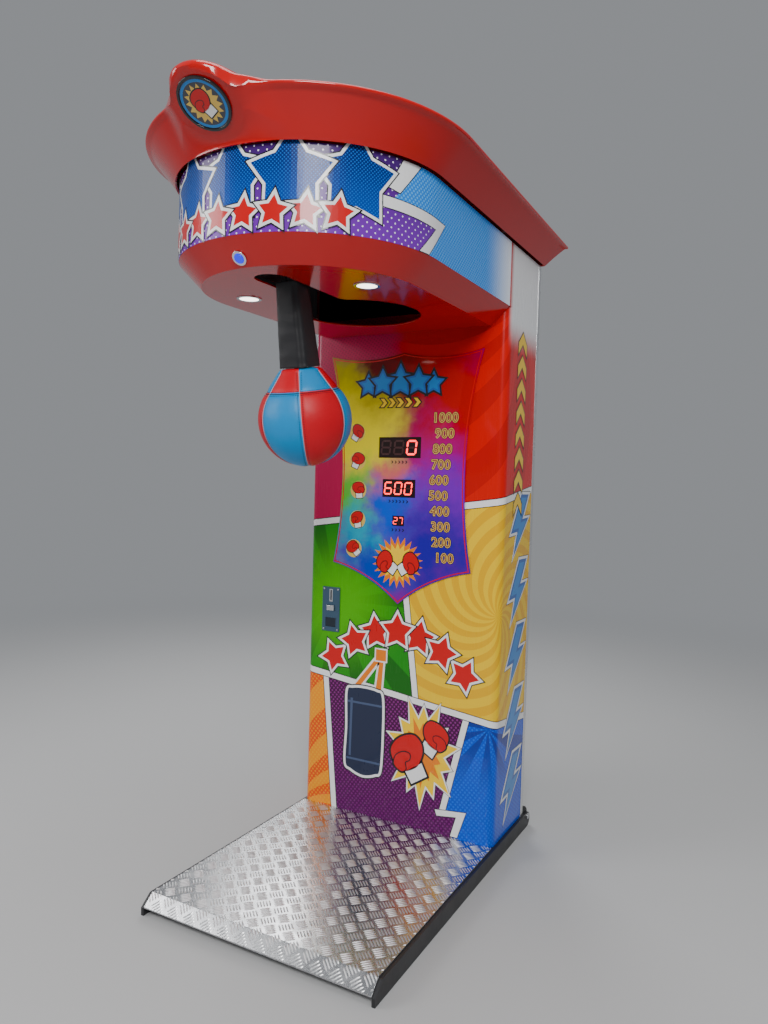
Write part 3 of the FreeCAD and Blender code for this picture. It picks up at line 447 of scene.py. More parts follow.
def wear_group():
    """Fine scratches, smears and pits: a value for roughness and a height for a bump."""
    group, given, result = new_group(
        "Surface Wear", [("Vector", "NodeSocketVector", None), ("Scale", "NodeSocketFloat", 40),
                         ("Amount", "NodeSocketFloat", 0.1),
                         ("Roughness", "NodeSocketFloat", 0.2)],
        [("Roughness", "NodeSocketFloat"), ("Height", "NodeSocketFloat")])
    scaled = scaled_by(group, given.outputs["Vector"], given.outputs["Scale"])
    smears = noise_node(group, scaled, 0.35, 4.0, 0.6)
    lines = noise_node(group, vectors(group, "MULTIPLY", scaled, (9.0, 9.0, 0.7)), 1.0, 3.0, 0.5)
    mixed = maths(group, "ADD", maths(group, "SUBTRACT", smears, 0.5),
                  maths(group, "POWER", lines, 4.0))
    varied = maths(group, "MULTIPLY_ADD", mixed, given.outputs["Amount"],
                   given.outputs["Roughness"], clamp=True)
    put(result, {"Roughness": varied, "Height": mixed})
    return group


def grain_group():
    """Pebbled leather grain: raised cells with fine creases between them, and a colour shade that
    is darker in the creases as painted shade.
    """
    group, given, result = new_group(
        "Leather Grain", [("Vector", "NodeSocketVector", None),
                          ("Scale", "NodeSocketFloat", 420.0)],
        [("Height", "NodeSocketFloat"), ("Shade", "NodeSocketFloat")])
    where = given.outputs["Vector"]
    bent = scaled_by(group, noise_node(group, where, 60.0, 3.0, output=1), 0.003)
    cells = group.nodes.new("ShaderNodeTexVoronoi")
    cells.feature = "DISTANCE_TO_EDGE"
    put(cells, {"Vector": vectors(group, "ADD", where, bent), "Scale": given.outputs["Scale"]})
    edge = maths(group, "MINIMUM", maths(group, "MULTIPLY", cells.outputs["Distance"], 6.0), 1.0)
    soft = noise_node(group, where, 14.0, 4.0)
    # the shade varies at random with the soft noise, and is darker in the creases between the
    # cells as painted shade
    shade = maths(group, "MULTIPLY_ADD", maths(group, "ADD", soft, edge), 0.16, 0.78)
    put(result, {"Height": edge, "Shade": shade})
    return group


def halftone_group():
    """Round dots on a turned square grid."""
    group, given, result = new_group(
        "Halftone", [("Vector", "NodeSocketVector", None), ("Cell", "NodeSocketFloat", 0.008),
                     ("Radius", "NodeSocketFloat", 0.3), ("Turn", "NodeSocketFloat", 0.6)],
        [("Mask", "NodeSocketFloat")])
    turned = group.nodes.new("ShaderNodeVectorRotate")
    turned.rotation_type = "Z_AXIS"
    put(turned, {"Vector": given.outputs["Vector"], "Angle": given.outputs["Turn"]})
    scaled = scaled_by(group, turned.outputs[0],
                       maths(group, "DIVIDE", 1.0, given.outputs["Cell"]))
    wrapped = vectors(group, "SUBTRACT", vectors(group, "FRACTION", scaled), (0.5, 0.5, 0.0))
    flat = vectors(group, "MULTIPLY", wrapped, (1.0, 1.0, 0.0))
    length = vectors(group, "LENGTH", flat, output=1)
    put(result, {"Mask": maths(group, "LESS_THAN", length, given.outputs["Radius"])})
    return group


def sunburst_group():
    """Rays that spread from a centre, with a swirl."""
    group, given, result = new_group(
        "Sunburst", [("Vector", "NodeSocketVector", None), ("Centre", "NodeSocketVector", None),
                     ("Rays", "NodeSocketFloat", 20.0), ("Swirl", "NodeSocketFloat", 0.0)],
        [("Mask", "NodeSocketFloat")])
    offset = vectors(group, "SUBTRACT", given.outputs["Vector"], given.outputs["Centre"])
    x, y, _ = split(group, offset)
    reach = vectors(group, "LENGTH", offset, output=1)
    spun = maths(group, "ADD", maths(group, "ARCTAN2", y, x),
                 maths(group, "MULTIPLY", reach, given.outputs["Swirl"]))
    wave = maths(group, "SINE", maths(group, "MULTIPLY", spun, given.outputs["Rays"]))
    put(result, {"Mask": maths(group, "GREATER_THAN", wave, 0.0)})
    return group


def side_group():
    """Signed distance from the line through two points, positive on its left."""
    group, given, result = new_group(
        "Line Side", [("Vector", "NodeSocketVector", None), ("From", "NodeSocketVector", None),
                      ("To", "NodeSocketVector", None)], [("Distance", "NodeSocketFloat")])
    start = given.outputs["From"]
    run = vectors(group, "NORMALIZE", vectors(group, "SUBTRACT", given.outputs["To"], start))
    x, y, _ = split(group, run)
    normal = joined(group, maths(group, "MULTIPLY", y, -1.0), x)
    offset = vectors(group, "SUBTRACT", given.outputs["Vector"], start)
    put(result, {"Distance": vectors(group, "DOT_PRODUCT", offset, normal, output=1)})
    return group


GROUPS = {"Surface Wear": wear_group, "Leather Grain": grain_group,
          "Halftone": halftone_group, "Sunburst": sunburst_group, "Line Side": side_group}


def use_group(tree, name, vector, **inputs):
    """One of the shader groups above, fed by a vector and its other inputs."""
    item = tree.nodes.new("ShaderNodeGroup")
    item.node_tree = bpy.data.node_groups.get(name) or GROUPS[name]()
    put(item, {"Vector": vector, **{key.title(): value for key, value in inputs.items()}})
    return item


# ---------------------------------------------------------------- materials

def blank(name):
    """A new material with only its Principled shader: its tree, shader and place vector."""
    material = bpy.data.materials.new(name)
    material.use_nodes = True
    tree = material.node_tree
    shader = tree.nodes["Principled BSDF"]
    where = tree.nodes.new("ShaderNodeTexCoord").outputs["Object"]
    return material, tree, shader, where


def worn(tree, shader, where, strength, distance=0.001, **wear):
    """Scratches and smears in the roughness, and the same marks as a slight relief."""
    marks = use_group(tree, "Surface Wear", where, **wear)
    put(shader, {"Roughness": marks.outputs["Roughness"]})
    if strength:
        bump(tree, shader, marks.outputs["Height"], strength, distance)


def bump(tree, shader, height, strength, distance):
    item = tree.nodes.new("ShaderNodeBump")
    put(item, {"Strength": strength, "Distance": distance, "Height": height})
    put(shader, {"Normal": item.outputs[0]})


def known(name):
    return bpy.data.materials.get(name)


def plain_finish(name, colour, roughness=0.3, metallic=0.0, coat=0.0, amount=0.15, scale=40.0,
                 shade=0.12, bumpy=0.02, emission=None, glow=0.0):
    """A worn solid finish: colour that varies a little, smears and fine scratches."""
    name = "finish_" + name
    if known(name):
        return known(name)
    material, tree, shader, where = blank(name)
    tint = mix(tree, noise_node(tree, where, scale*0.2, 4.0),
               [c*(1 - shade) for c in colour], [min(1, c*(1 + shade)) for c in colour])
    put(shader, {"Base Color": tint, "Metallic": metallic, "Coat Weight": coat,
                 "Coat Roughness": 0.05})
    if coat and not metallic:
        put(shader, {"Specular IOR Level": 0.2})
    if emission:
        put(shader, {"Emission Color": (*emission, 1), "Emission Strength": glow})
    worn(tree, shader, where, bumpy, scale=scale, amount=amount, roughness=roughness)
    return material


# colours of the printing inks
INKS = {
    "black": (0.008, 0.008, 0.01), "white": (0.86, 0.86, 0.86), "red": (0.60, 0.0, 0.002),
    "yellow": (1.0, 0.62, 0.0), "gold": (0.75, 0.50, 0.10), "amber": (0.82, 0.20, 0.0),
    "azure": (0.01, 0.22, 0.62), "blue": (0.006, 0.10, 0.42), "band_blue": (0.01, 0.13, 0.50),
    "navy": (0.012, 0.02, 0.055), "slate": (0.06, 0.09, 0.18), "plum": (0.16, 0.004, 0.03),
}


def ink(name):
    return plain_finish("ink_" + name, INKS[name], roughness=0.28, coat=0.6, amount=0.08,
                        shade=0.05, bumpy=0.01)


def mix(tree, factor, a, b, blend="MIX"):
    """Blends two colours; each may be plain or linked."""
    item = tree.nodes.new("ShaderNodeMix")
    item.data_type = "RGBA"
    item.blend_type = blend
    put(item, {"Factor": factor})
    for key, value in (("A", a), ("B", b)):
        linked_in = isinstance(value, bpy.types.NodeSocket)
        put(item, {key: value if linked_in else (*value, 1)})
    return item.outputs["Result"]


def ramp(tree, value, low_value, high_value):
    """0 to 1 as the value goes from low to high, smoothly."""
    item = tree.nodes.new("ShaderNodeMapRange")
    item.interpolation_type = "SMOOTHSTEP"
    put(item, {"Value": value, "From Min": low_value, "From Max": high_value})
    return item.outputs["Result"]


def gloss_print(tree, shader, where, colour, coat=0.5, coat_roughness=0.08, specular=0.12,
                relief=0.01, **wear):
    """A print under a clear coat."""
    put(shader, {"Base Color": colour, "Specular IOR Level": specular, "Coat Weight": coat,
                 "Coat Roughness": coat_roughness})
    worn(tree, shader, where, relief, **{"scale": 25.0, "amount": 0.1, "roughness": 0.26, **wear})


def wrapped_place(tree, where):
    """Flat (u, v) on the cabinet: u goes round the front corners on to the sides."""
    x, y, z = split(tree, where)
    along = maths(tree, "MULTIPLY", maths(tree, "SIGN", x), maths(tree, "MAXIMUM", y, 0.0))
    u = maths(tree, "ADD", x, along)
    return joined(tree, u, z), u, z


# the comic panels' dividing lines, as (u, z) points in metres
UPPER_LINE = ((-0.3, 0.882), (0.3, 0.967))
LOWER_LINE = ((-0.3, 0.447), (0.3, 0.373))
GREEN_EDGE = ((0.059, 0.435), (0.024, 0.692))
ORANGE_EDGE = ((-0.195, 0.048), (-0.233, 0.430))
BLUE_EDGE = ((0.153, 0.108), (0.214, 0.367))
CORNER_EDGE = ((0.187, 0.048), (0.206, 0.108))
LINE_HALF = 0.0085
LINE_EDGE = 0.0022
# a printed sheet is plain grey on its inner face, this far behind the printed one
SKIN = 0.001
CORNER_ROUND = 0.022
INSIDE_GREY = (0.035, 0.035, 0.038)


def dotted(tree, flat, cell, radius, turn=0.785):
    return use_group(tree, "Halftone", flat, cell=cell, radius=radius, turn=turn).outputs[0]


def panel_print():
    """Comic panels in bright colours, with dots and rays, split by white lines."""
    if known("comic_panels"):
        return known("comic_panels")
    material, tree, shader, where = blank("comic_panels")
    flat, u, v = wrapped_place(tree, where)

    def line(ends):
        start, end = ((*p, 0.0) for p in ends)
        return use_group(tree, "Line Side", flat, **{"from": start, "to": end}).outputs[0]

    def above(distance):
        return maths(tree, "GREATER_THAN", distance, 0.0)

    def dots(cell, radius):
        return dotted(tree, flat, cell, radius, 0.6)

    def rays(centre, count, swirl):
        return use_group(tree, "Sunburst", flat, centre=(*centre, 0.0), rays=count,
                         swirl=swirl).outputs[0]

    def scaled(value, factor):
        return maths(tree, "MULTIPLY", value, factor)

    upper, lower = line(UPPER_LINE), line(LOWER_LINE)
    green, orange, blue = line(GREEN_EDGE), line(ORANGE_EDGE), line(BLUE_EDGE)
    # top: magenta on the left, red on the right, fading to white high on the sides
    pink = mix(tree, scaled(dots(0.0085, 0.27), 0.45), (0.46, 0.0, 0.07), (0.08, 0.0, 0.02))
    pink = mix(tree, ramp(tree, v, 1.35, 1.0), pink, (0.50, 0.0, 0.07))
    red = mix(tree, scaled(rays((0.36, 1.5), 15.0, 1.5), 0.35), (0.66, 0.0, 0.0),
              (0.30, 0.0, 0.0))
    top = mix(tree, ramp(tree, u, -0.06, 0.02), pink, red)
    wide = maths(tree, "ABSOLUTE", u)
    pale = maths(tree, "MULTIPLY", ramp(tree, v, 1.36, 1.45), ramp(tree, wide, 0.300, 0.330))
    top = mix(tree, pale, top, (0.86, 0.87, 0.88))
    # middle: green on the left, yellow on the right
    grass = mix(tree, scaled(rays((-0.2, 0.66), 14.0, 0.0), 0.7), (0.010, 0.24, 0.004),
                (0.003, 0.085, 0.002))
    grass = mix(tree, ramp(tree, vectors(tree, "DISTANCE", flat, (-0.2, 0.66, 0.0), output=1),
                           0.26, 0.03), grass, (0.07, 0.42, 0.0))
    sun = mix(tree, scaled(rays((0.3, 0.663), 16.0, 7.0), 0.7), (0.90, 0.57, 0.0),
              (0.74, 0.36, 0.0))
    middle = mix(tree, above(green), sun, grass)
    # bottom: orange, plum and blue
    flame = mix(tree, rays((-0.33, 0.02), 13.0, 2.0), (0.80, 0.07, 0.0), (0.90, 0.28, 0.0))
    flame = mix(tree, scaled(dots(0.010, 0.30), 0.6), flame, (0.94, 0.46, 0.0))
    plum = mix(tree, scaled(dots(0.0095, 0.30), 0.85), (0.060, 0.0, 0.052), (0.28, 0.02, 0.24))
    plum = mix(tree, scaled(ramp(tree, v, 0.30, 0.05), 0.5), plum, (0.11, 0.0, 0.11))
    sky = mix(tree, scaled(dots(0.0095, 0.30), 0.6), (0.0, 0.06, 0.60), (0.0, 0.19, 0.86))
    sky = mix(tree, scaled(rays((0.28, 0.36), 11.0, 0.0), ramp(tree, v, 0.16, 0.33)), sky,
              (0.004, 0.03, 0.30))
    bottom = mix(tree, above(orange), plum, flame)
    corner = line(CORNER_EDGE)
    foot_zone = maths(tree, "LESS_THAN", v, CORNER_EDGE[1][1])
    plum_side = maths(tree, "ADD", maths(tree, "MULTIPLY", above(blue),
                                         maths(tree, "SUBTRACT", 1.0, foot_zone)),
                      maths(tree, "MULTIPLY", above(corner), foot_zone))
    bottom = mix(tree, plum_side, sky, bottom)
    colour = mix(tree, above(lower), bottom, middle)
    colour = mix(tree, above(upper), colour, top)

    def stripe(colour, distance, zone=None):
        wide_line = maths(tree, "ABSOLUTE", distance)
        for reach, shade in ((LINE_HALF + LINE_EDGE, (0.01, 0.01, 0.012)),
                             (LINE_HALF, (0.88, 0.88, 0.88))):
            mask = maths(tree, "LESS_THAN", wide_line, reach)
            if zone is not None:
                mask = maths(tree, "MULTIPLY", mask, zone)
            colour = mix(tree, mask, colour, shade)
        return colour

    middle_zone = maths(tree, "SUBTRACT", above(lower), above(upper))
    bottom_zone = maths(tree, "SUBTRACT", 1.0, above(lower))
    colour = stripe(colour, green, middle_zone)
    colour = stripe(colour, orange, bottom_zone)
    colour = stripe(colour, blue, maths(tree, "MULTIPLY", bottom_zone,
                                        maths(tree, "GREATER_THAN", v, CORNER_EDGE[1][1])))
    colour = stripe(colour, lower)
    colour = stripe(colour, upper)
    # how far a point lies from the middle of the nearest rounded corner, or past its wall
    x, y, _ = split(tree, where)
    across = maths(tree, "MAXIMUM", 0.0, maths(tree, "SUBTRACT", maths(tree, "ABSOLUTE", x),
                                               HALF - CORNER_ROUND))
    along = maths(tree, "MAXIMUM", 0.0, maths(tree, "SUBTRACT", CORNER_ROUND, y))
    inside = maths(tree, "LESS_THAN",
                   vectors(tree, "LENGTH", joined(tree, across, along), output=1),
                   CORNER_ROUND - SKIN)
    gloss_print(tree, shader, where, mix(tree, inside, colour, INSIDE_GREY))
    return material


# where the band's violet ends: the height of its step, and the lean and start of each edge
BAND_STEP = 0.076
BAND_LOW_EDGE, BAND_HIGH_EDGE = (1.05, 0.412), (0.9, 0.255)
# the run round the head over which the band's blue fades to white
BAND_FADE = (0.74, 0.97)


def band_print():
    """The head's band: dotted violet in front, pale blue dots that fade to white behind."""
    if known("band_print"):
        return known("band_print")
    material, tree, shader, where = blank("band_print")
    x, y, z = split(tree, where)
    depth = maths(tree, "SUBTRACT", y, HEAD_MID)
    angle = maths(tree, "ARCTAN2", maths(tree, "ABSOLUTE", x),
                  maths(tree, "MULTIPLY", depth, -1.0))
    bent = maths(tree, "MULTIPLY", maths(tree, "MINIMUM", angle, math.pi/2), HALF)
    u = maths(tree, "ADD", bent, maths(tree, "MAXIMUM", depth, 0.0))
    flat = joined(tree, u, z)
    violet = mix(tree, ramp(tree, z, BAND_LOW, BAND_TOP), (0.16, 0.02, 0.38),
                 (0.05, 0.01, 0.13))
    violet = mix(tree, dotted(tree, flat, 0.0125, 0.14), violet, (0.8, 0.75, 0.9))
    azure = mix(tree, dotted(tree, flat, 0.0075, 0.3), (0.01, 0.20, 0.72), (0.10, 0.42, 0.86))
    azure = mix(tree, ramp(tree, u, *BAND_FADE), azure, (0.88, 0.91, 0.93))
    # the colours meet at a leaning edge, which is further forward in the band's upper part
    lift = maths(tree, "SUBTRACT", z, BAND_LOW)
    over = maths(tree, "GREATER_THAN", lift, BAND_STEP)
    low_edge, high_edge = (maths(tree, "MULTIPLY_ADD", lift, lean, start)
                           for lean, start in (BAND_LOW_EDGE, BAND_HIGH_EDGE))
    beyond = maths(tree, "ADD", maths(tree, "MULTIPLY", over,
                                      maths(tree, "GREATER_THAN", u, high_edge)),
                   maths(tree, "MULTIPLY", maths(tree, "SUBTRACT", 1.0, over),
                         maths(tree, "GREATER_THAN", u, low_edge)))
    nose = maths(tree, "MINIMUM", depth, 0.0)
    out = maths(tree, "SQRT", maths(tree, "ADD", maths(tree, "MULTIPLY", x, x),
                                    maths(tree, "MULTIPLY", nose, nose)))
    colour = mix(tree, maths(tree, "LESS_THAN", out, HALF - SKIN),
                 mix(tree, beyond, violet, azure), INSIDE_GREY)
    gloss_print(tree, shader, where, colour, coat=0.25)
    # painted light: the band glows faintly in its own colours
    put(shader, {"Emission Color": colour, "Emission Strength": 0.10})
    return material


# rainbow patches behind the display: (u, z, reach, colour)
DISPLAY_PATCHES = (
    (0.00, 1.36, 0.30, (0.09, 0.0, 0.0)), (-0.20, 1.26, 0.14, (0.34, 0.30, 0.0)),
    (0.16, 1.24, 0.20, (0.42, 0.0, 0.0)), (0.10, 1.08, 0.13, (0.36, 0.0, 0.13)),
    (-0.14, 1.12, 0.17, (0.74, 0.62, 0.0)), (-0.02, 1.02, 0.08, (0.60, 0.10, 0.10)),
    (-0.17, 0.96, 0.12, (0.08, 0.46, 0.02)), (-0.14, 0.86, 0.10, (0.0, 0.32, 0.46)),
    (0.00, 0.93, 0.11, (0.0, 0.07, 0.55)), (0.16, 0.95, 0.15, (0.16, 0.0, 0.42)),
    (0.12, 0.80, 0.16, (0.02, 0.0, 0.30)), (-0.06, 0.76, 0.12, (0.0, 0.04, 0.40)))


def dotted_blue():
    """Deep blue with fine paler dots, darker towards the top."""
    if known("dotted_blue"):
        return known("dotted_blue")
    material, tree, shader, where = blank("dotted_blue")
    x, y, z = split(tree, where)
    around_head = maths(tree, "MULTIPLY", HALF,
                        maths(tree, "ARCTAN2", x, maths(tree, "SUBTRACT", HEAD_MID, y)))
    dots = dotted(tree, joined(tree, around_head, z), 0.0052, 0.30)
    ground = mix(tree, ramp(tree, z, BAND_LOW + 0.04, BAND_TOP), (0.0, 0.05, 0.34),
                 (0.0, 0.012, 0.12))
    gloss_print(tree, shader, where, mix(tree, dots, ground, (0.0, 0.13, 0.56)), coat=0.25)
    return material


def display_print():
    """A glossy sheet with rainbow clouds printed behind it, glowing faintly in them as painted
    light.
    """
    if known("display_print"):
        return known("display_print")
    material, tree, shader, where = blank("display_print")
    x, _, z = split(tree, where)
    flat = joined(tree, x, z)
    cloud = noise_node(tree, flat, 7.0, 8.0, 0.62, output=1)
    drift = scaled_by(tree, vectors(tree, "SUBTRACT", cloud, (0.5, 0.5, 0.5)), 0.30)
    bent = vectors(tree, "ADD", flat, drift)
    colour = (0.20, 0.0, 0.26)
    for u, v, reach, shade in DISPLAY_PATCHES:
        distance = vectors(tree, "DISTANCE", bent, (u, v, 0.0), output=1)
        colour = mix(tree, ramp(tree, distance, reach*1.25, reach*0.25), colour, shade)
    gloss_print(tree, shader, where, colour, coat=0.45, coat_roughness=0.04, specular=0.1,
                relief=0.0, scale=30.0, amount=0.05, roughness=0.07)
    # painted light: the sheet glows faintly in its own colours
    put(shader, {"Emission Color": colour, "Emission Strength": 0.12})
    return material


def leather(name, colour, second=None):
    """Grained vinyl leather. With a second colour it changes from gore to gore of the bag."""
    if known(name):
        return known(name)
    material, tree, shader, where = blank(name)
    grain = use_group(tree, "Leather Grain", where, scale=430.0)
    base = colour
    if second:
        lean = bag_lean()
        local = tree.nodes.new("ShaderNodeMapping")
        local.vector_type = "TEXTURE"
        put(local, {"Location": lean.to_translation(), "Rotation": lean.to_euler(),
                    "Vector": where})
        x, y, z = split(tree, local.outputs[0])
        angle = maths(tree, "ARCTAN2", x, maths(tree, "MULTIPLY", y, -1.0))
        wave = maths(tree, "COSINE", maths(tree, "MULTIPLY", angle, sizes().gores/2))
        gore = maths(tree, "GREATER_THAN", wave, 0.0)
        upper = maths(tree, "GREATER_THAN", z, sizes().seam_up)
        swap = maths(tree, "ABSOLUTE", maths(tree, "SUBTRACT", gore, upper))
        base = mix(tree, swap, colour, second)
    # the grain's shade darkens the colour at random, and in the creases as painted shade
    put(shader, {"Base Color": mix(tree, 1.0, base, grain.outputs["Shade"], "MULTIPLY"),
                 "Specular IOR Level": 0.34})
    wear = use_group(tree, "Surface Wear", where, scale=30.0, amount=0.18, roughness=0.36)
    put(shader, {"Roughness": wear.outputs["Roughness"]})
    bump(tree, shader, grain.outputs["Height"], 0.22, 0.0006)
    return material


def moulding_red():
    return plain_finish("moulding_red", tuple(colours().red), roughness=0.22, coat=0.8,
                        amount=0.05, scale=9.0, shade=0.03, bumpy=0.012)


def tread_metal(name, dark, bright, roughness):
    """Rolled aluminium with handling scratches both ways."""
    if known(name):
        return known(name)
    material, tree, shader, where = blank(name)
    colour = mix(tree, noise_node(tree, where, 9.0, 5.0, 0.6), dark, bright)
    put(shader, {"Base Color": colour, "Metallic": 1.0})
    worn(tree, shader, where, 0.10, 0.0006, scale=70.0, amount=0.30, roughness=roughness)
    return material


def glow(name, colour, strength, lens=(0.9, 0.9, 0.9)):
    return plain_finish(name, lens, roughness=0.15, coat=0.5, amount=0.05, emission=colour,
                        glow=strength)


FINISHES = {
    "black_steel": dict(colour=(0.018, 0.018, 0.02), roughness=0.42, amount=0.25, bumpy=0.08),
    "zinc_steel": dict(colour=(0.62, 0.63, 0.64), roughness=0.30, metallic=1.0, amount=0.25,
                       bumpy=0.05),
    "wheel_rubber": dict(colour=(0.03, 0.03, 0.03), roughness=0.65, bumpy=0.10),
    "black_panel": dict(colour=(0.03, 0.03, 0.033), roughness=0.5, amount=0.2, bumpy=0.12,
                        scale=160.0),
    "chrome": dict(colour=(0.8, 0.8, 0.82), roughness=0.10, metallic=1.0, amount=0.1),
    "trim_aluminium": dict(colour=(0.82, 0.83, 0.84), roughness=0.28, metallic=1.0,
                           amount=0.2),
    "lamp_strip": dict(colour=(0.85, 0.85, 0.82), roughness=0.5),
    "black_gloss": dict(colour=(0.012, 0.012, 0.014), roughness=0.14, coat=0.8, amount=0.06),
    "smoked_lens": dict(colour=(0.014, 0.004, 0.004), roughness=0.32, coat=0.15, amount=0.05),
    "circuit_board": dict(colour=(0.01, 0.13, 0.04), roughness=0.35, shade=0.3),
    "black_plastic": dict(colour=(0.025, 0.025, 0.027), roughness=0.45, bumpy=0.08,
                          scale=120.0),
    "buffer_rubber": dict(colour=(0.02, 0.02, 0.02), roughness=0.7, bumpy=0.1),
    "coil_black": dict(colour=(0.05, 0.03, 0.02), roughness=0.35, shade=0.3),
}


def finish_for(slot):
    if slot == "coin_steel":
        return plain_finish("coin_steel", tuple(colours().steel), roughness=0.34, metallic=0.6,
                            amount=0.25, bumpy=0.05)
    return plain_finish(slot, **FINISHES[slot])


# ---------------------------------------------------------------- operators

class PunchOperator:
    bl_options = {"REGISTER", "UNDO"}


class MACHINE_OT_base(PunchOperator, bpy.types.Operator):
    """Frame, deck with raised bars, and wheels"""
    bl_idname = "machine.base"
    bl_label = "Base and deck"

    def execute(self, context):
        plate = tread_metal("tread_plate_metal", (0.42, 0.43, 0.45), (0.68, 0.68, 0.69), 0.24)
        refinish("tread_plate", plate, width=0.0006)
        self.bars(tread_metal("tread_bar_metal", (0.86, 0.86, 0.87), (0.97, 0.97, 0.97), 0.34))
        refinish("base_frame", finish_for("black_steel"), width=0.0012)
        refinish("tread_screws", finish_for("zinc_steel"), width=0.0005)
        for side in ("left", "right"):
            self.wheel("transport_wheel_" + side)
        refinish("wheel_axles", finish_for("zinc_steel"), width=0.0004)
        return {"FINISHED"}

    def bars(self, metal):
        """Groups of five bars on a diagonal grid, turned a quarter from one to the next."""
        cell, high_bar = sizes().bar_cell, sizes().bar_high
        bars, long, wide = 5, cell*0.80, cell*0.118
        pitch, reach = cell/bars, cell/math.sqrt(2)
        fold = low("tread_plate").y + NOSE_RUN
        slope = math.hypot(NOSE_RUN, NOSE_DROP)
        mesh = bmesh.new()
        outline = ((-0.5, 0.0), (-0.36, -0.5), (0.36, -0.5), (0.5, 0.0), (0.36, 0.5),
                   (-0.36, 0.5))
        ridge = ((-0.34, 0.0), (-0.26, -0.2), (0.26, -0.2), (0.34, 0.0), (0.26, 0.2),
                 (-0.26, 0.2))
        columns = int(HALF/reach) + 2
        rows = int((slope - fold)/reach) + 2
        for i in range(-columns, columns + 1):
            for k in range(-1, rows):
                if (i + k) % 2:
                    continue
                turn = math.radians(45 if i % 2 else -45)
                cos, sin = math.cos(turn), math.sin(turn)
                for n in range(bars):
                    across = (n - (bars - 1)/2)*pitch
                    rings = []
                    for ring, up in ((outline, -0.0004), (ridge, high_bar)):
                        corners = []
                        for p, q in ring:
                            a, b = p*long, q*wide + across
                            corners.append(mesh.verts.new((i*reach + a*cos - b*sin,
                                                           -k*reach + a*sin + b*cos, up)))
                        rings.append(corners)
                    mesh.faces.new(rings[1])
                    for c in range(6):
                        d = (c + 1) % 6
                        mesh.faces.new((rings[0][c], rings[0][d], rings[1][d], rings[1][c]))
        margin = 0.0006
        for point, normal in (((HALF - margin, 0, 0), (1, 0, 0)),
                              ((margin - HALF, 0, 0), (-1, 0, 0)),
                              ((0, -margin, 0), (0, 1, 0)),
                              ((0, fold - slope + margin, 0), (0, -1, 0))):
            cut(mesh, point, normal, clear=True)
        cut(mesh, (0, fold, 0), (0, -1, 0))
        run, drop = NOSE_RUN/slope, NOSE_DROP/slope
        for vert in mesh.verts:
            over = max(0.0, fold - vert.co.y)
            up = vert.co.z
            if over:
                vert.co.y = fold - over*run - up*drop
                vert.co.z = DECK_UP - over*drop + up*run
            else:
                vert.co.z = DECK_UP + up
        bmesh.ops.recalc_face_normals(mesh, faces=mesh.faces)
        piece = finish_piece(from_bmesh("tread_bars", mesh), "cabinet", "tread_aluminium", metal)
        smooth(piece, 60)

    def wheel(self, node):
        """A rubber tyre with a rounded tread and a dished hub."""
        bottom, top = low(node), high(node)
        middle, wide, radius = (bottom + top)/2, top.x - bottom.x, (top.z - bottom.z)/2
        piece = softened(node, width=wide*0.22, segments=4, name=node + "_tyre")
        finish_piece(piece, body_of(node), "wheel_rubber", finish_for("wheel_rubber"))
        for way in (-1, 1):
            deselect()
            bpy.ops.mesh.primitive_torus_add(
                major_radius=radius*0.62, minor_radius=0.0012, major_segments=40,
                minor_segments=8, location=(middle.x + way*(wide/2 - 0.0006), middle.y, middle.z),
                rotation=(0, math.pi/2, 0))
            ring = bpy.context.object
            ring.name = f"{node}_hub_ring_{'left' if way < 0 else 'right'}"
            place(ring)
            smooth(ring, 60)
            finish_piece(ring, body_of(node), "wheel_rubber", finish_for("black_plastic"))


NOSE_RUN, NOSE_DROP = 0.027, 0.024


class MACHINE_OT_cabinet(PunchOperator, bpy.types.Operator):
    """Printed front and sides, and the rear panels"""
    bl_idname = "machine.cabinet"
    bl_label = "Cabinet panels"

    def execute(self, context):
        for node in ("front_panel", "left_side_panel", "right_side_panel"):
            refinish(node, panel_print(), width=0.0008)
        for node in ("rear_door", "rear_sill", "rear_upper_panel"):
            refinish(node, finish_for("black_panel"), width=0.0008)
        refinish("rear_corner_trims", finish_for("trim_aluminium"), width=0.0006)
        return {"FINISHED"}


def layered(name, outlines, surface, stack, first=0, step=0.0, slot="printed_panel"):
    """Copies of the outlines over each other, each grown by its own margin."""
    pieces = []
    for number, (margin, material) in enumerate(stack):
        shapes = [grown(o, margin) if margin else o for o in outlines]
        pieces.append(printed(f"{name}_{number + 1}", shapes, surface, first + number, material,
                              step=step, slot=slot))
    return pieces


BOLT = [(0.02, 0.50), (-0.42, -0.12), (-0.12, -0.10), (-0.28, -0.50), (0.42, 0.12),
        (0.12, 0.10), (0.40, 0.50)]
CHEVRON = [(-0.5, -0.45), (0.0, 0.0), (0.5, -0.45), (0.5, 0.0), (0.0, 0.45), (-0.5, 0.0)]


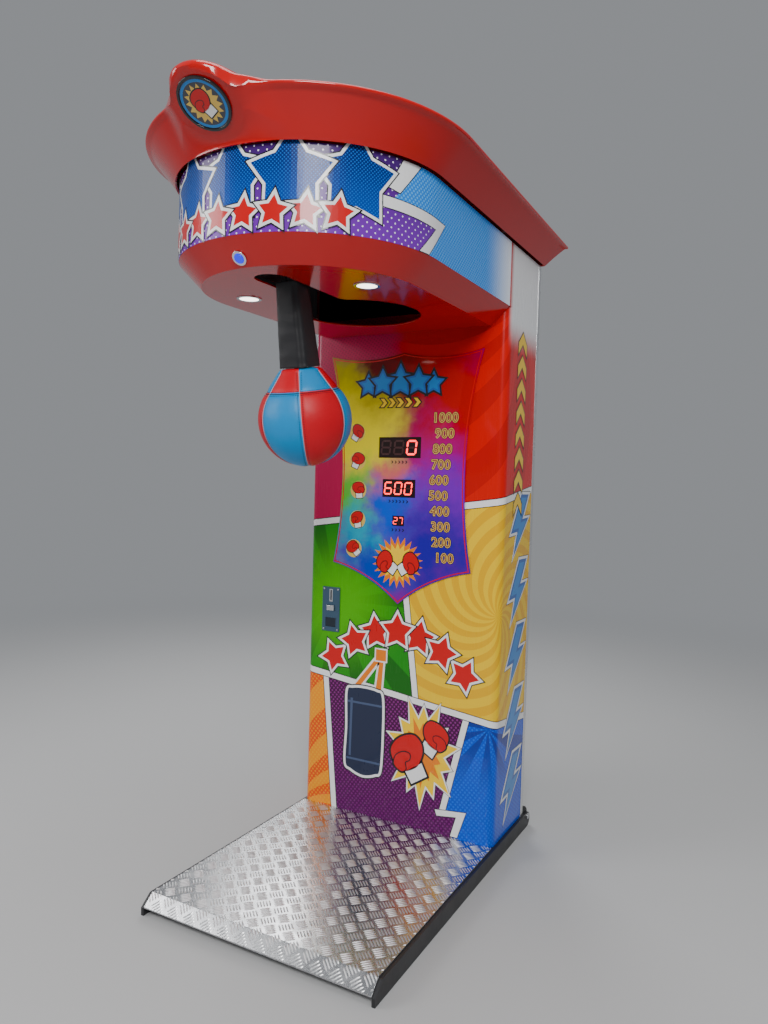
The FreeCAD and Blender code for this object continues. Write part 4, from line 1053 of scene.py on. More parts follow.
class MACHINE_OT_front_pictures(PunchOperator, bpy.types.Operator):
    """An arc of stars, a hanging bag and a burst with two gloves on the front"""
    bl_idname = "machine.front_pictures"
    bl_label = "Front pictures"

    def execute(self, context):
        self.stars()
        self.hanging_bag()
        self.burst()
        seven = [(0.132, 0.112), (0.224, 0.122), (0.200, 0.0485), (0.180, 0.0485),
                 (0.196, 0.104), (0.138, 0.096)]
        layered("corner_seven", [seven], on_front, [(0.002, "black"), (0.0, "white")])
        return {"FINISHED"}

    def stars(self):
        """Seven stars on an arc: the outer ones hang lower, are smaller and lean outwards."""
        up, rise, span, count = 0.592, 0.098, 0.206, 7
        for n in range(count):
            t = 2*n/(count - 1) - 1
            outline = star((t*span, up - rise*t*t), 0.049 - 0.005*abs(t), inner=0.54,
                           turn=90 - 26*t)
            layered(f"star_{n + 1}", [outline], on_front,
                    [(0.0095, "black"), (0.0065, "white"), (0.0, "red")],
                    first=3 if n % 2 else 0)

    def hanging_bag(self):
        body = curve_through([(-0.157, 0.395), (-0.155, 0.29), (-0.158, 0.19), (-0.14, 0.172),
                              (-0.10, 0.160), (-0.06, 0.170), (-0.044, 0.188),
                              (-0.040, 0.30), (-0.043, 0.395), (-0.06, 0.409),
                              (-0.10, 0.413), (-0.14, 0.409)])
        strap_left = [(-0.148, 0.402), (-0.060, 0.512), (-0.045, 0.512), (-0.128, 0.402)]
        strap_right = [(-0.066, 0.402), (-0.052, 0.512), (-0.040, 0.512), (-0.047, 0.402)]
        collar = [(-0.066, 0.500), (-0.033, 0.500), (-0.033, 0.532), (-0.066, 0.532)]
        layered("hanging_strap", [strap_left, strap_right], on_front,
                [(0.006, "white"), (0.0, "amber")])
        layered("hanging_collar", [collar], on_front, [(0.004, "white"), (0.0, "amber")],
                first=2)
        layered("hanging_bag", [body], on_front,
                [(0.0105, "black"), (0.0075, "white"), (0.0, "navy")], first=2)
        shine = [(-0.146, 0.38), (-0.138, 0.38), (-0.141, 0.21), (-0.148, 0.21)]
        seam = [(-0.156, 0.372), (-0.042, 0.372), (-0.042, 0.366), (-0.156, 0.366)]
        base = [(-0.155, 0.205), (-0.045, 0.205), (-0.045, 0.199), (-0.155, 0.199)]
        printed("hanging_bag_seams", [seam, base], on_front, 5, "slate")
        printed("hanging_bag_shine", [shine], on_front, 6, "slate")

    def burst(self):
        """A spiky burst, every other spike longer, behind two gloves."""
        centre = (0.088, 0.262)
        spikes = around(centre, [0.148, 0.088, 0.122, 0.088]*7, 0.74, 1.05, turn=0.2)
        layered("burst", [spikes], on_front,
                [(0.006, "black"), (0.0045, "white"), (0.0, "yellow")], first=1)
        inner = moved([(p[0] - centre[0], p[1] - centre[1]) for p in spikes], centre, 0.66)
        printed("burst_heart", [inner], on_front, 4, "amber")
        draw_glove("glove_far", (0.122, 0.305), 0.088, -35.0, -1, on_front, 5)
        draw_glove("glove_near", (0.052, 0.240), 0.118, 38.0, 1, on_front, 8)


def draw_glove(name, at, size, turn, flip, surface, first, slot="printed_panel"):
    fist, thumb, cuff = glove(at, size, turn, flip)
    layered(name + "_edge", [fist, cuff, thumb], surface, [(size*0.05, "black")], first=first,
            slot=slot)
    printed(name + "_fist", [fist], surface, first + 1, "red", slot=slot)
    printed(name + "_cuff", [cuff], surface, first + 1, "white", slot=slot)
    layered(name + "_thumb", [thumb], surface, [(size*0.03, "black"), (0.0, "red")],
            first=first + 2, slot=slot)


class MACHINE_OT_side_pictures(PunchOperator, bpy.types.Operator):
    """A column of blue bolts and a column of yellow chevrons on each side"""
    bl_idname = "machine.side_pictures"
    bl_label = "Side pictures"

    def execute(self, context):
        for label, surface in (("right", on_right), ("left", on_left)):
            bolts = [moved(BOLT, (0.142, 0.172 + n*0.182), 0.172) for n in range(5)]
            layered("bolt_" + label, bolts, surface,
                    [(0.0095, "black"), (0.0075, "white"), (0.0, "blue")])
            printed("bolt_heart_" + label, [grown(b, -0.009) for b in bolts], surface, 3,
                    "azure")
            arrows = [moved(CHEVRON, (0.115, 0.960 + n*0.062), 0.066) for n in range(8)]
            layered("chevron_" + label, arrows, surface, [(0.004, "black"), (0.0, "yellow")],
                    first=3)
        return {"FINISHED"}


class MACHINE_OT_head(PunchOperator, bpy.types.Operator):
    """Red rim, printed band with its shapes, and the cap"""
    bl_idname = "machine.head"
    bl_label = "Head"

    def execute(self, context):
        refinish("head_rim", moulding_red(), width=0.0030, segments=4, angle=25)
        refinish("marquee_band", band_print(), width=0)
        refinish("marquee_lamp_strips", finish_for("lamp_strip"), width=0)
        self.band_shapes()
        self.cap()
        self.badge()
        return {"FINISHED"}

    def band_shapes(self):
        """Rows of five big and eight small stars, and a white zigzag at each end."""
        on = {"step": 0.012, "slot": "printed_band"}
        tall = BAND_TOP - BAND_LOW
        for name, count, pitch, up, radius, inner, turn, fill, first in (
                ("band_big_star", 5, 0.125, 0.64, 0.083, 0.60, 90, dotted_blue(), 2),
                ("band_star", 8, 0.062, 0.235, 0.030, 0.52, 84, "red", 8)):
            for n in range(count):
                outline = star(((n - (count - 1)/2)*pitch, BAND_LOW + tall*up), radius, inner,
                               turn)
                layered(f"{name}_{n + 1}", [outline], on_band,
                        [(0.0085, "black"), (0.006, "white"), (0.0, fill)],
                        first=first + 3*(n % 2), **on)
        up, foot = BAND_TOP - 0.001, BAND_LOW + 0.001
        slash = [(0.352, up), (0.400, up), (0.345, BAND_LOW + 0.098),
                 (0.318, BAND_LOW + 0.104)]
        seven = [(0.262, BAND_LOW + 0.088), (0.505, BAND_LOW + 0.078), (0.436, foot),
                 (0.404, foot), (0.462, BAND_LOW + 0.058), (0.285, BAND_LOW + 0.066)]
        for side in (1, -1):
            shapes = [[(side*p[0], p[1]) for p in shape] for shape in (slash, seven)]
            layered(f"band_zigzag_{'right' if side > 0 else 'left'}", shapes, on_band,
                    [(0.002, "black"), (0.0, "white")], **on)

    def cap(self):
        """The flared cap, swelling at its front into a round boss for the badge."""
        tail = high("cap_moulding").y
        brim = high("cap_moulding").x
        foot, drop = HALF + 0.010, 0.024
        edge_rear = BAND_TOP + 0.054
        span = HALF + BACK - HEAD_MID
        foot_tail = BACK + 0.004

        def tilt(y):
            return (BACK - y)*drop/span

        # each row: how far out from the straight sides, height, rear end, share of the tilt
        rows = [(foot, BAND_TOP + 0.0005, foot_tail, 0.0)]
        for t in (0.10, 0.22, 0.34, 0.46, 0.58, 0.70, 0.80, 0.88):
            out = foot + (brim - foot)*t - 0.003*math.sin(math.pi*t)
            rows.append((out, BAND_TOP + (edge_rear - BAND_TOP)*t, foot_tail
                         + (tail - foot_tail)*t, t))
        for degrees in (-35, -10, 15, 40, 65):
            a = math.radians(degrees)
            rows.append((brim - 0.007 + 0.007*math.cos(a), edge_rear - 0.004
                         + 0.0055*math.sin(a), tail - 0.007 + 0.007*math.cos(a), 1.0))
        for inset, lift in ((0.012, 0.0028), (0.020, 0.0048), (0.028, 0.0062), (0.038, 0.0068),
                            (0.055, 0.0070), (0.080, 0.0070), (0.105, 0.0070),
                            (0.130, 0.0070), (0.160, 0.0070), (0.200, 0.0070)):
            rows.append((brim - inset, edge_rear + lift, tail - inset*0.6, 1.0))
        face, normal = flat_of("badge_face", Vector((0, -0.5, -0.8)))
        lip = normal.cross(Vector((1, 0, 0))).normalized()
        if lip.z < 0:
            lip = -lip
        round_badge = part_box("badge_ring")[1].x
        # the middle of the front: up the boss, across its face, over its lip and back down
        foot_path = [Vector((0, *p)) for p in ((-0.760, BAND_TOP), (-0.7605, 1.6435))]
        across = (-1.40, -1.30, -1.16, -1.02, -0.6, -0.2, 0.2, 0.6, 1.02, 1.18)
        rear_path = [Vector((0, *p)) for p in (
            (-0.8845, 1.7275), (-0.8835, 1.7345), (-0.8780, 1.7400), (-0.8680, 1.7430),
            (-0.8540, 1.7430), (-0.8360, 1.7400), (-0.8140, 1.7355), (-0.7880, 1.7310),
            (-0.7560, 1.7278), (-0.7200, 1.7258), (-0.6750, 1.7245), (-0.6250, 1.7235))]
        lip_round = round_badge*1.40

        def target(number, x, base):
            if number < len(foot_path):
                return foot_path[number]
            squeeze = math.sqrt(max(0.10, 1 - (x/lip_round)**2))
            number -= len(foot_path)
            if number < len(across):
                at = across[number]
                sunk = 0.0012 if abs(at) < 1.1 else 0.0
                return face + lip*(at*squeeze*round_badge) - normal*sunk
            return base.lerp(rear_path[number - len(across)], squeeze)

        count = len(rows)
        columns = [(math.pi*n/120 - math.pi/2) for n in range(121)]

        def base_point(row, column):
            out, up, rear, share = row
            kind, amount = column
            if kind == "arc":
                x, y = out*math.sin(amount), HEAD_MID - out*math.cos(amount)
            elif kind == "side":
                x = math.copysign(out, amount)
                y = HEAD_MID + (rear - HEAD_MID)*abs(amount)
            else:
                x, y = -out*amount, rear
            return Vector((x, y, up + share*tilt(y)))

        ring = [("side", -n/14) for n in range(14, 0, -1)]
        ring += [("arc", a) for a in columns]
        ring += [("side", n/14) for n in range(1, 15)]
        ring += [("rear", -1 + 2*n/16) for n in range(1, 16)]
        points = []
        for number, row in enumerate(rows):
            base_front = base_point(row, ("arc", 0.0))
            for column in ring:
                p = base_point(row, column)
                if column[0] == "arc":
                    grip = 1 - smoothstep(lip_round*0.92, lip_round*1.75, abs(p.x))
                    shift = target(number, p.x, base_front) - base_front
                    p = p + Vector((0, shift.y, shift.z))*grip
                points.append(p)
        size = len(ring)
        faces = ring_faces(count, size)
        faces.append(tuple((count - 1)*size + c for c in range(size)))
        piece = from_lists("cap_shell", points, faces)
        outward(piece)
        apply_modifier(piece, "SOLIDIFY", thickness=0.004, offset=-1)
        smooth(piece, 50)
        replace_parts(piece, "cap_moulding")
        finish_piece(piece, "cabinet", "red_moulding", moulding_red())

    def badge(self):
        """A dark disc with a plain glove in a ring."""
        refinish("badge_ring", finish_for("black_gloss"), width=0.0009, segments=3)
        refinish("badge_face", plain_finish("badge_ground", (0.03, 0.035, 0.05),
                                            roughness=0.2, coat=1.0), width=0.0004)
        centre, normal = flat_of("badge_face", Vector((0, -0.5, -0.8)))
        across = Vector((1, 0, 0))
        upward = across.cross(normal)
        if upward.z < 0:
            upward = -upward
        radius = high("badge_face").x

        def on_badge(u, v, h):
            return centre + across*u + upward*v + normal*h

        rim = tuple(around((0, 0), [radius*k]*48) for k in (0.97, 0.86))
        printed("badge_rim", [rim], on_badge, 0, "azure", slot="printed_badge")
        spikes = around((0, 0), [radius*0.60, radius*0.80]*16)
        printed("badge_burst", [spikes], on_badge, 0, "gold", slot="printed_badge")
        draw_glove("badge_glove", (0.0, 0.002), radius*0.98, 30.0, 1, on_badge, 1,
                   slot="printed_badge")


def smoothstep(low_value, high_value, value):
    t = min(1.0, max(0.0, (value - low_value)/(high_value - low_value)))
    return t*t*(3 - 2*t)


def flat_of(node, toward):
    """Middle and normal of a node's flat face that looks most nearly a given way."""
    mesh = frame["nodes"][node].data
    toward = toward.normalized()
    best = max(mesh.polygons, key=lambda f: f.normal.dot(toward))
    normal = best.normal.copy()
    total, centre = 0.0, Vector()
    for face in mesh.polygons:
        if face.normal.dot(normal) > 0.9999:
            total += face.area
            centre += face.center*face.area
    return centre/total, normal


class MACHINE_OT_lights(PunchOperator, bpy.types.Operator):
    """Start button and the two lamps under the head"""
    bl_idname = "machine.lights"
    bl_label = "Button and lamps"

    def execute(self, context):
        refinish("start_button_housing", finish_for("chrome"), width=0.0006, segments=3)
        refinish("start_button_cap", glow("start_button_blue", (0.01, 0.01, 1.0), 1.1,
                                          (0.0, 0.01, 0.4)), width=0.0012, segments=3)
        refinish("downlight_bezels", finish_for("chrome"), width=0.0006, segments=3)
        refinish("downlight_lenses", glow("downlight_white", (1.0, 0.93, 0.85), 5.0),
                 width=0.0006)
        return {"FINISHED"}


SEGMENTS = {"0": "abcdef", "2": "abged", "6": "afgedc", "7": "abc", "8": "abcdefg"}


def seven_segments(digit, left, bottom, wide, tall):
    """Outlines of a digit's lit bars."""
    thick, gap = wide*0.17, wide*0.025
    middle, top = bottom + tall/2, bottom + tall

    def bar(a, b):
        run = (Vector(b) - Vector(a)).normalized()
        side = Vector((-run.y, run.x))*(thick/2)
        a, b = Vector(a) + run*gap, Vector(b) - run*gap
        return [a, a + run*thick/2 + side, b - run*thick/2 + side, b,
                b - run*thick/2 - side, a + run*thick/2 - side]
    x0, x1 = left + thick/2, left + wide - thick/2
    y0, y1 = bottom + thick/2, top - thick/2
    bars = {"a": ((x0, y1), (x1, y1)), "b": ((x1, middle), (x1, y1)),
            "c": ((x1, y0), (x1, middle)), "d": ((x0, y0), (x1, y0)),
            "e": ((x0, y0), (x0, middle)), "f": ((x0, middle), (x0, y1)),
            "g": ((x0, middle), (x1, middle))}
    return [bar(*bars[key]) for key in SEGMENTS[digit]]


def lean_right(outlines, bottom):
    return [[Vector((p[0] + (p[1] - bottom)*0.10, p[1])) for p in o] for o in outlines]


class MACHINE_OT_display(PunchOperator, bpy.types.Operator):
    """Glossy shield with windows, digits, scale numbers and pictures"""
    bl_idname = "machine.display"
    bl_label = "Display"

    def execute(self, context):
        refinish("display_panel", display_print(), width=0.0007)
        for node in ("score_display", "high_score_display", "credit_display"):
            refinish(node, finish_for("smoked_lens"), width=0.0004)
        refinish("display_board", finish_for("circuit_board"), width=0)
        self.digits("score_display", 3, "0")
        self.digits("high_score_display", 3, "600")
        self.digits("credit_display", 2, "27")
        self.numbers()
        self.pictures()
        self.outline()
        return {"FINISHED"}

    def digits(self, node, places, text):
        bottom, top = low(node), high(node)
        lit = plain_finish("lit_red", (0.8, 0.02, 0.02), emission=(1.0, 0.03, 0.03), glow=4.0)
        dim = plain_finish("unlit_red", (0.05, 0.008, 0.008), roughness=0.3)
        tall = (top.z - bottom.z)*0.74
        pitch = (top.x - bottom.x)*0.92/places
        base = (top.z + bottom.z - tall)/2

        def on_lens(u, v, h):
            return Vector((u, bottom.y - h, v))

        for place_number in range(places):
            left = bottom.x + (top.x - bottom.x)*0.03 + pitch*place_number
            wide = pitch*0.80
            index = place_number - (places - len(text))
            shapes = lean_right(seven_segments("8", left, base, wide, tall), base)
            printed(f"{node}_unlit_{place_number + 1}", shapes, on_lens, 0, dim,
                    slot="smoked_lens")
            if index >= 0:
                shapes = lean_right(seven_segments(text[index], left, base, wide, tall), base)
                printed(f"{node}_lit_{place_number + 1}", shapes, on_lens, 1, lit,
                        slot="smoked_lens")

    def numbers(self):
        """The scale from 1000 at the top down to 100; places and heights are in mm."""
        places = (130, 129, 124, 121, 116, 115, 121, 124, 128, 138)
        first_up, last_up = 1187, 806
        front = low("display_panel").y
        for n, x in enumerate(places):
            up = (first_up - n*(first_up - last_up)/9)*0.001
            text = str(1000 - 100*n)
            for layer, (margin, colour) in enumerate(((0.0030, "black"), (0.0016, "gold"),
                                                      (-0.0004, "plum"))):
                deselect()
                bpy.ops.object.text_add(location=(0, 0, 0))
                item = bpy.context.object
                item.name = f"scale_{text}_{layer + 1}"
                item.data.body = text
                item.data.size = 0.036
                item.data.align_x, item.data.align_y = "CENTER", "CENTER"
                item.data.space_character = 1.08
                item.data.offset = margin
                item.data.extrude = sizes().ink/2
                item.data.resolution_u = 3
                bpy.ops.object.convert(target="MESH")
                item = bpy.context.object
                item.location = (x*0.001, front - (layer + 0.5)*sizes().ink, up)
                item.rotation_euler = (math.pi/2, 0, 0)
                place(item)
                finish_piece(item, "cabinet", "display_gloss", ink(colour))

    def pictures(self):
        """Gloves on gold discs, the title's ornament, a burst with gloves, and captions."""
        slot = "display_gloss"
        for n, (x, up) in enumerate(((-145, 1149), (-141, 1069), (-136, 985), (-137, 900),
                                     (-147, 816))):
            at = (x*0.001, up*0.001)
            printed(f"icon_disc_{n + 1}", [around(at, [0.026]*24)], on_display, 0, "gold",
                    slot=slot)
            draw_glove(f"icon_{n + 1}", at, 0.042, 18.0*(n - 2), 1 if n % 2 else -1,
                       on_display, 1, slot=slot)
        # title ornament: five stars, the middle one largest, above a row of small chevrons
        for n, (x, up, reach) in enumerate(((-0.112, 1.282, 0.030), (-0.066, 1.288, 0.037),
                                            (-0.010, 1.291, 0.046), (0.046, 1.288, 0.037),
                                            (0.092, 1.282, 0.030))):
            layered(f"title_star_{n + 1}", [star((x, up), reach, inner=0.52)], on_display,
                    [(0.0075, "black"), (0.002, "band_blue"), (-0.0035, "azure")],
                    first=3 if n % 2 else 0, slot=slot)
        row = [moved(CHEVRON, (-0.060 + n*0.026, 1.232), 0.024, turn=-90) for n in range(5)]
        layered("title_row", row, on_display, [(0.003, "black"), (0.0, "yellow")], first=6,
                slot=slot)
        for layer, (label, reach, count, colour) in enumerate((("outer", 0.080, 22, "amber"),
                                                               ("inner", 0.060, 18, "yellow"))):
            spikes = [(-0.004 + x, 0.786 + y) for (x, _), (_, y) in zip(
                around((0, 0), [reach*0.70, reach]*count),
                around((0, 0), [reach*0.62, reach*0.92]*count))]
            printed(f"burst_{label}", [spikes], on_display, layer, colour, slot=slot)
        for label, x, flip in (("left", -0.036, 1), ("right", 0.030, -1)):
            draw_glove("burst_glove_" + label, (x, 0.782), 0.062, 62.0*flip, flip, on_display,
                       2, slot=slot)
        for node, count in (("score_display", 5), ("high_score_display", 6),
                            ("credit_display", 4)):
            middle = (low(node).x + high(node).x)/2
            row = [moved(CHEVRON, (middle + (n - (count - 1)/2)*0.011, low(node).z - 0.012),
                         0.008, turn=-90) for n in range(count)]
            printed(f"caption_{node}", row, on_display, 0, "black", slot=slot)

    def outline(self):
        """A thin red line just inside the shield's edge."""
        edge = rim_outline("display_panel")
        inner, outer = grown(edge, -0.0065), grown(edge, -0.0035)
        printed("display_line", [(outer, inner)], on_display, 0, "red", slot="display_gloss")


def rim_outline(node):
    """The outer outline of a flat node's front face, in order, as (x, z)."""
    mesh = bmesh.new()
    mesh.from_mesh(frame["nodes"][node].data)
    bmesh.ops.remove_doubles(mesh, verts=mesh.verts, dist=1e-5)
    front = min(v.co.y for v in mesh.verts)
    bmesh.ops.delete(mesh, geom=[f for f in mesh.faces
                                 if any(v.co.y > front + 1e-5 for v in f.verts)],
                     context="FACES")
    loops, seen = [], set()
    for edge in mesh.edges:
        if not edge.is_boundary or edge in seen:
            continue
        loop, vert, here = [], edge.verts[0], edge
        while here and here not in seen:
            seen.add(here)
            loop.append(Vector((vert.co.x, vert.co.z)))
            vert = here.other_vert(vert)
            here = next((e for e in vert.link_edges if e.is_boundary and e not in seen), None)
        loops.append(loop)
    mesh.free()
    return max(loops, key=lambda loop: max(p.x for p in loop))


class MACHINE_OT_coin_door(PunchOperator, bpy.types.Operator):
    """Coin plate with its slot, reject button and return flap"""
    bl_idname = "machine.coin_door"
    bl_label = "Coin door"

    def execute(self, context):
        steel = finish_for("coin_steel")
        refinish("coin_plate", steel, width=0.0008, segments=3)
        refinish("coin_return_flap", plain_finish("flap_dark", (0.03, 0.04, 0.055),
                                                  roughness=0.3, metallic=0.5), width=0.0004)
        refinish("coin_reject_button", finish_for("trim_aluminium"), width=0.0012,
                 segments=3)
        refinish("coin_plate_screws", finish_for("zinc_steel"), width=0.0005, segments=2)
        self.slot_lips(steel)
        return {"FINISHED"}

    def slot_lips(self, steel):
        plate_low, plate_high = low("coin_plate"), high("coin_plate")
        middle = (plate_low.x + plate_high.x)/2
        slot_low, slot_high = plate_low.z + 0.092, plate_low.z + 0.122
        shine = finish_for("trim_aluminium")

        def on_plate(u, v, h):
            return Vector((u, plate_low.y - h, v))

        half, wide = 0.0022, 0.0035
        outer = [(middle - half - wide, slot_low - 0.004), (middle + half + wide,
                 slot_low - 0.004), (middle + half + wide, slot_high + 0.003),
                 (middle - half - wide, slot_high + 0.003)]
        inner = [(middle - half, slot_low - 0.0002), (middle + half, slot_low - 0.0002),
                 (middle + half, slot_high + 0.0002), (middle - half, slot_high + 0.0002)]
        printed("coin_slot_lips", [(outer, inner)], on_plate, 0, shine, thick=4,
                slot="coin_steel")
        flap_low, flap_high = low("coin_return_flap"), high("coin_return_flap")
        edge = 0.0006
        box = [(flap_low.x - edge, flap_low.z - edge), (flap_high.x + edge, flap_low.z - edge),
               (flap_high.x + edge, flap_high.z + edge), (flap_low.x - edge,
                                                         flap_high.z + edge)]
        printed("coin_cup_frame", [(grown(box, 0.0025), box)], on_plate, 0, steel, thick=3,
                slot="coin_steel")


def bag_lean():
    """The bag's own frame: its middle, with +Z along the arm towards the pivot."""
    bottom, radius = low("punch_bag"), high("punch_bag").x
    centre = Vector((0, bottom.y + radius, bottom.z + radius))
    pivot = Vector(next(j["pos_m"] for j in frame["joints"] if j["name"] == "bag_swing"))
    run = pivot - centre
    return Matrix.Translation(centre) @ Matrix.Rotation(math.atan2(-run.y, run.z), 4, "X")


class MACHINE_OT_bag(PunchOperator, bpy.types.Operator):
    """Padded leather bag of coloured gores with piping and stitches, and its sleeve"""
    bl_idname = "machine.bag"
    bl_label = "Bag and sleeve"

    def execute(self, context):
        self.shell()
        self.trims()
        self.sleeve()
        return {"FINISHED"}

    def shell(self):
        radius, neck_up, neck = bag_sizes()
        start = radius*0.972
        deselect()
        bpy.ops.mesh.primitive_uv_sphere_add(segments=72, ring_count=48, radius=start)
        piece = bpy.context.object
        piece.name = "bag_leather_shell"
        for vert in piece.data.vertices:
            p = vert.co
            flat = math.hypot(p.x, p.y)
            slope = bag_profile(p.z, start, neck_up, neck)
            if slope is not None and flat > 1e-6:
                new_z, new_flat = slope
                p.x, p.y, p.z = p.x/flat*new_flat, p.y/flat*new_flat, new_z
        piece.data.transform(bag_lean())
        swell(piece, "Bag Cloth", voxel=0.005, cap=0.005, pressure=4.0)
        crease(piece, depth=0.0022, reach=0.006, lean=bag_lean())
        keep_inside(piece, bag_lean(), radius + 0.0005)
        smooth(piece, 80)
        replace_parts(piece, "punch_bag")
        finish_piece(piece, "arm", "bag_leather",
                     leather("bag_gores", tuple(colours().bag_red), tuple(colours().bag_blue)))
        self.tree = surface_of(piece)

    def trims(self):
        """White piping in the vertical seams, a stitched shoulder seam and a bottom disc."""
        lean, radius = bag_lean(), high("punch_bag").x
        white = leather("piping_leather", (0.55, 0.42, 0.46))
        thread = plain_finish("dark_thread", (0.02, 0.02, 0.03), roughness=0.7, bumpy=0.1)
        lines = bag_seams(radius)
        for number, line in enumerate(lines):
            points = self.laid([lean @ p for p in line], lean.to_translation(), 0.0003)
            tube(f"piping_{number + 1}", points, sizes().piping, "arm", "bag_leather",
                 white if number < len(lines) - 1 else thread)
        for number, line in enumerate(lines):
            for side in (-1, 1):
                stitches(f"stitching_{number + 1}_{'a' if side < 0 else 'b'}", line, side,
                         lean, self.laid, thread)
        disc = [lean @ Vector((0.022*math.cos(math.pi*n/16), 0.022*math.sin(math.pi*n/16),
                               -radius)) for n in range(33)]
        points = self.laid(disc, lean.to_translation(), 0.0002)
        tube("bottom_disc_seam", points, sizes().piping, "arm", "bag_leather", white)

    def laid(self, points, centre, lift):
        """Points dropped on to the finished bag from outside, with a small lift."""
        out = []
        for p in points:
            way = (p - centre).normalized()
            hit = self.tree.ray_cast(centre + way*0.3, -way)[0]
            out.append((hit or p) + way*lift)
        return out

    def sleeve(self):
        """The square padded sleeve over the arm, with sewn corners and soft wrinkles."""
        lean = bag_lean()
        inverse = lean.inverted()
        source = frame["nodes"]["arm_sleeve"].data
        corners = [inverse @ v.co for v in source.vertices]
        bottom, top = min(p.z for p in corners), max(p.z for p in corners)
        lower = max(p.x for p in corners if p.z < bottom + 0.002)
        upper = max(p.x for p in corners if p.z > top - 0.002)
        rows, per_side = 44, 12
        points = []
        for r in range(rows + 1):
            t = r/rows
            half = lower + (upper - lower)*t - 0.0006
            up = bottom + (top - bottom)*t
            for k in range(4*per_side):
                side, along = divmod(k, per_side)
                u = -1 + 2*along/per_side
                corner = half*0.22
                x, y = half, u*half
                over = max(0.0, abs(y) - (half - corner))
                x -= corner - math.sqrt(max(0.0, corner**2 - over**2)) if over else 0.0
                belly = 0.0012*(1 - u*u)
                x -= 0.0014 - belly
                p = Matrix.Rotation(side*math.pi/2, 3, "Z") @ Vector((x, y, 0))
                fold = noise.noise(Vector((p.x*30, p.y*30, up*45)))
                ends = smoothstep(0.0, 0.06, t)*smoothstep(0.0, 0.06, 1 - t)
                p *= 1 + (0.030*fold - 0.014)*ends
                points.append(Vector((p.x, p.y, up)))
        piece = from_lists("sleeve_leather", [lean @ p for p in points],
                           ring_faces(rows + 1, 4*per_side))
        outward(piece)
        apply_modifier(piece, "SOLIDIFY", thickness=0.003, offset=-1)
        apply_modifier(piece, "SUBSURF", levels=1, render_levels=1)
        smooth(piece, 60)
        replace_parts(piece, "arm_sleeve")
        finish_piece(piece, "arm", "sleeve_leather",
                     leather("sleeve_black_leather", (0.018, 0.018, 0.02)))


def bag_sizes():
    """Radius of the ball, and the height and radius of its neck's end, in the bag's frame."""
    inverse = bag_lean().inverted()
    corners = [inverse @ v.co for v in frame["nodes"]["punch_bag"].data.vertices]
    neck_up = max(p.z for p in corners)
    neck = max(math.hypot(p.x, p.y) for p in corners if p.z > neck_up - 1e-4)
    return high("punch_bag").x, neck_up, neck


def bag_profile(z, radius, neck_up, neck):
    """Height and radius on the neck for a point of the ball that is above where it starts."""
    reach = math.hypot(neck_up, neck)
    touch = math.atan2(neck, neck_up) + math.acos(min(1.0, radius/reach))
    start_z, start_flat = radius*math.cos(touch), radius*math.sin(touch)
    if z <= start_z:
        return None
    t = (z - start_z)/(radius - start_z)
    # the last part of the ball becomes the flat top of the neck
    if t < 0.75:
        k = t/0.75
        return start_z + (neck_up - 0.001 - start_z)*k, start_flat + (neck - start_flat)*k
    k = (t - 0.75)/0.25
    return neck_up - 0.001, neck*(1 - k)


def bag_seams(radius):
    """Seam lines in the bag's frame: one per gore, and the shoulder seam last."""
    gores, seam_up = sizes().gores, sizes().seam_up
    lines = []
    top = math.radians(24)
    for n in range(gores):
        angle = 2*math.pi*(n + 0.5)/gores
        line = []
        for k in range(41):
            polar = top + (math.pi*0.985 - top)*k/40
            line.append(Vector((radius*math.sin(polar)*math.sin(angle),
                                -radius*math.sin(polar)*math.cos(angle),
                                radius*math.cos(polar))))
        lines.append(line)
    flat = math.sqrt(radius**2 - seam_up**2)
    lines.append([Vector((flat*math.sin(2*math.pi*k/96), -flat*math.cos(2*math.pi*k/96),
                          seam_up)) for k in range(97)])
    return lines


def swell(piece, name, voxel, cap, pressure):
    """Puffs a closed piece up like a stuffed skin and limits how far each point moves."""
    activate(piece)
    remesh = piece.modifiers.new("Remesh", "REMESH")
    remesh.mode, remesh.voxel_size = "VOXEL", voxel
    bpy.ops.object.modifier_apply(modifier=remesh.name)
    before = [v.co.copy() for v in piece.data.vertices]
    cloth = piece.modifiers.new(name, "CLOTH")
    cloth.settings.use_pressure = True
    cloth.settings.uniform_pressure_force = pressure
    cloth.settings.effector_weights.gravity = 0
    cloth.settings.quality = 5
    cloth.point_cache.frame_start, cloth.point_cache.frame_end = 1, 20
    for number in range(1, 21):
        bpy.context.scene.frame_set(number)
    bpy.ops.object.modifier_apply(modifier=cloth.name)
    bpy.context.scene.frame_set(1)
    for vert, start in zip(piece.data.vertices, before):
        shift = vert.co - start
        if shift.length > cap:
            vert.co = start + shift*(cap/shift.length)
    apply_modifier(piece, "SUBSURF", levels=1, render_levels=1)


def crease(piece, depth, reach, lean):
    """Pulls the skin in along the seam lines, as thread does."""
    inverse = lean.inverted()
    neck_up, seam_up, gores = bag_sizes()[1], sizes().seam_up, sizes().gores
    for vert in piece.data.vertices:
        p = inverse @ vert.co
        flat = math.hypot(p.x, p.y)
        if p.z > neck_up - 0.006:
            continue
        angle = math.atan2(p.x, -p.y)
        part = (angle*gores/(2*math.pi) - 0.5) % 1.0
        away = min(part, 1 - part)*2*math.pi/gores*flat
        near = min(away, abs(p.z - seam_up))
        pull = depth*math.exp(-(near/reach)**2)
        middle = min(1.0, away/0.05)
        p *= 1 - (pull - 0.0008*middle)/max(0.02, p.length)
        vert.co = lean @ p
    piece.data.update()


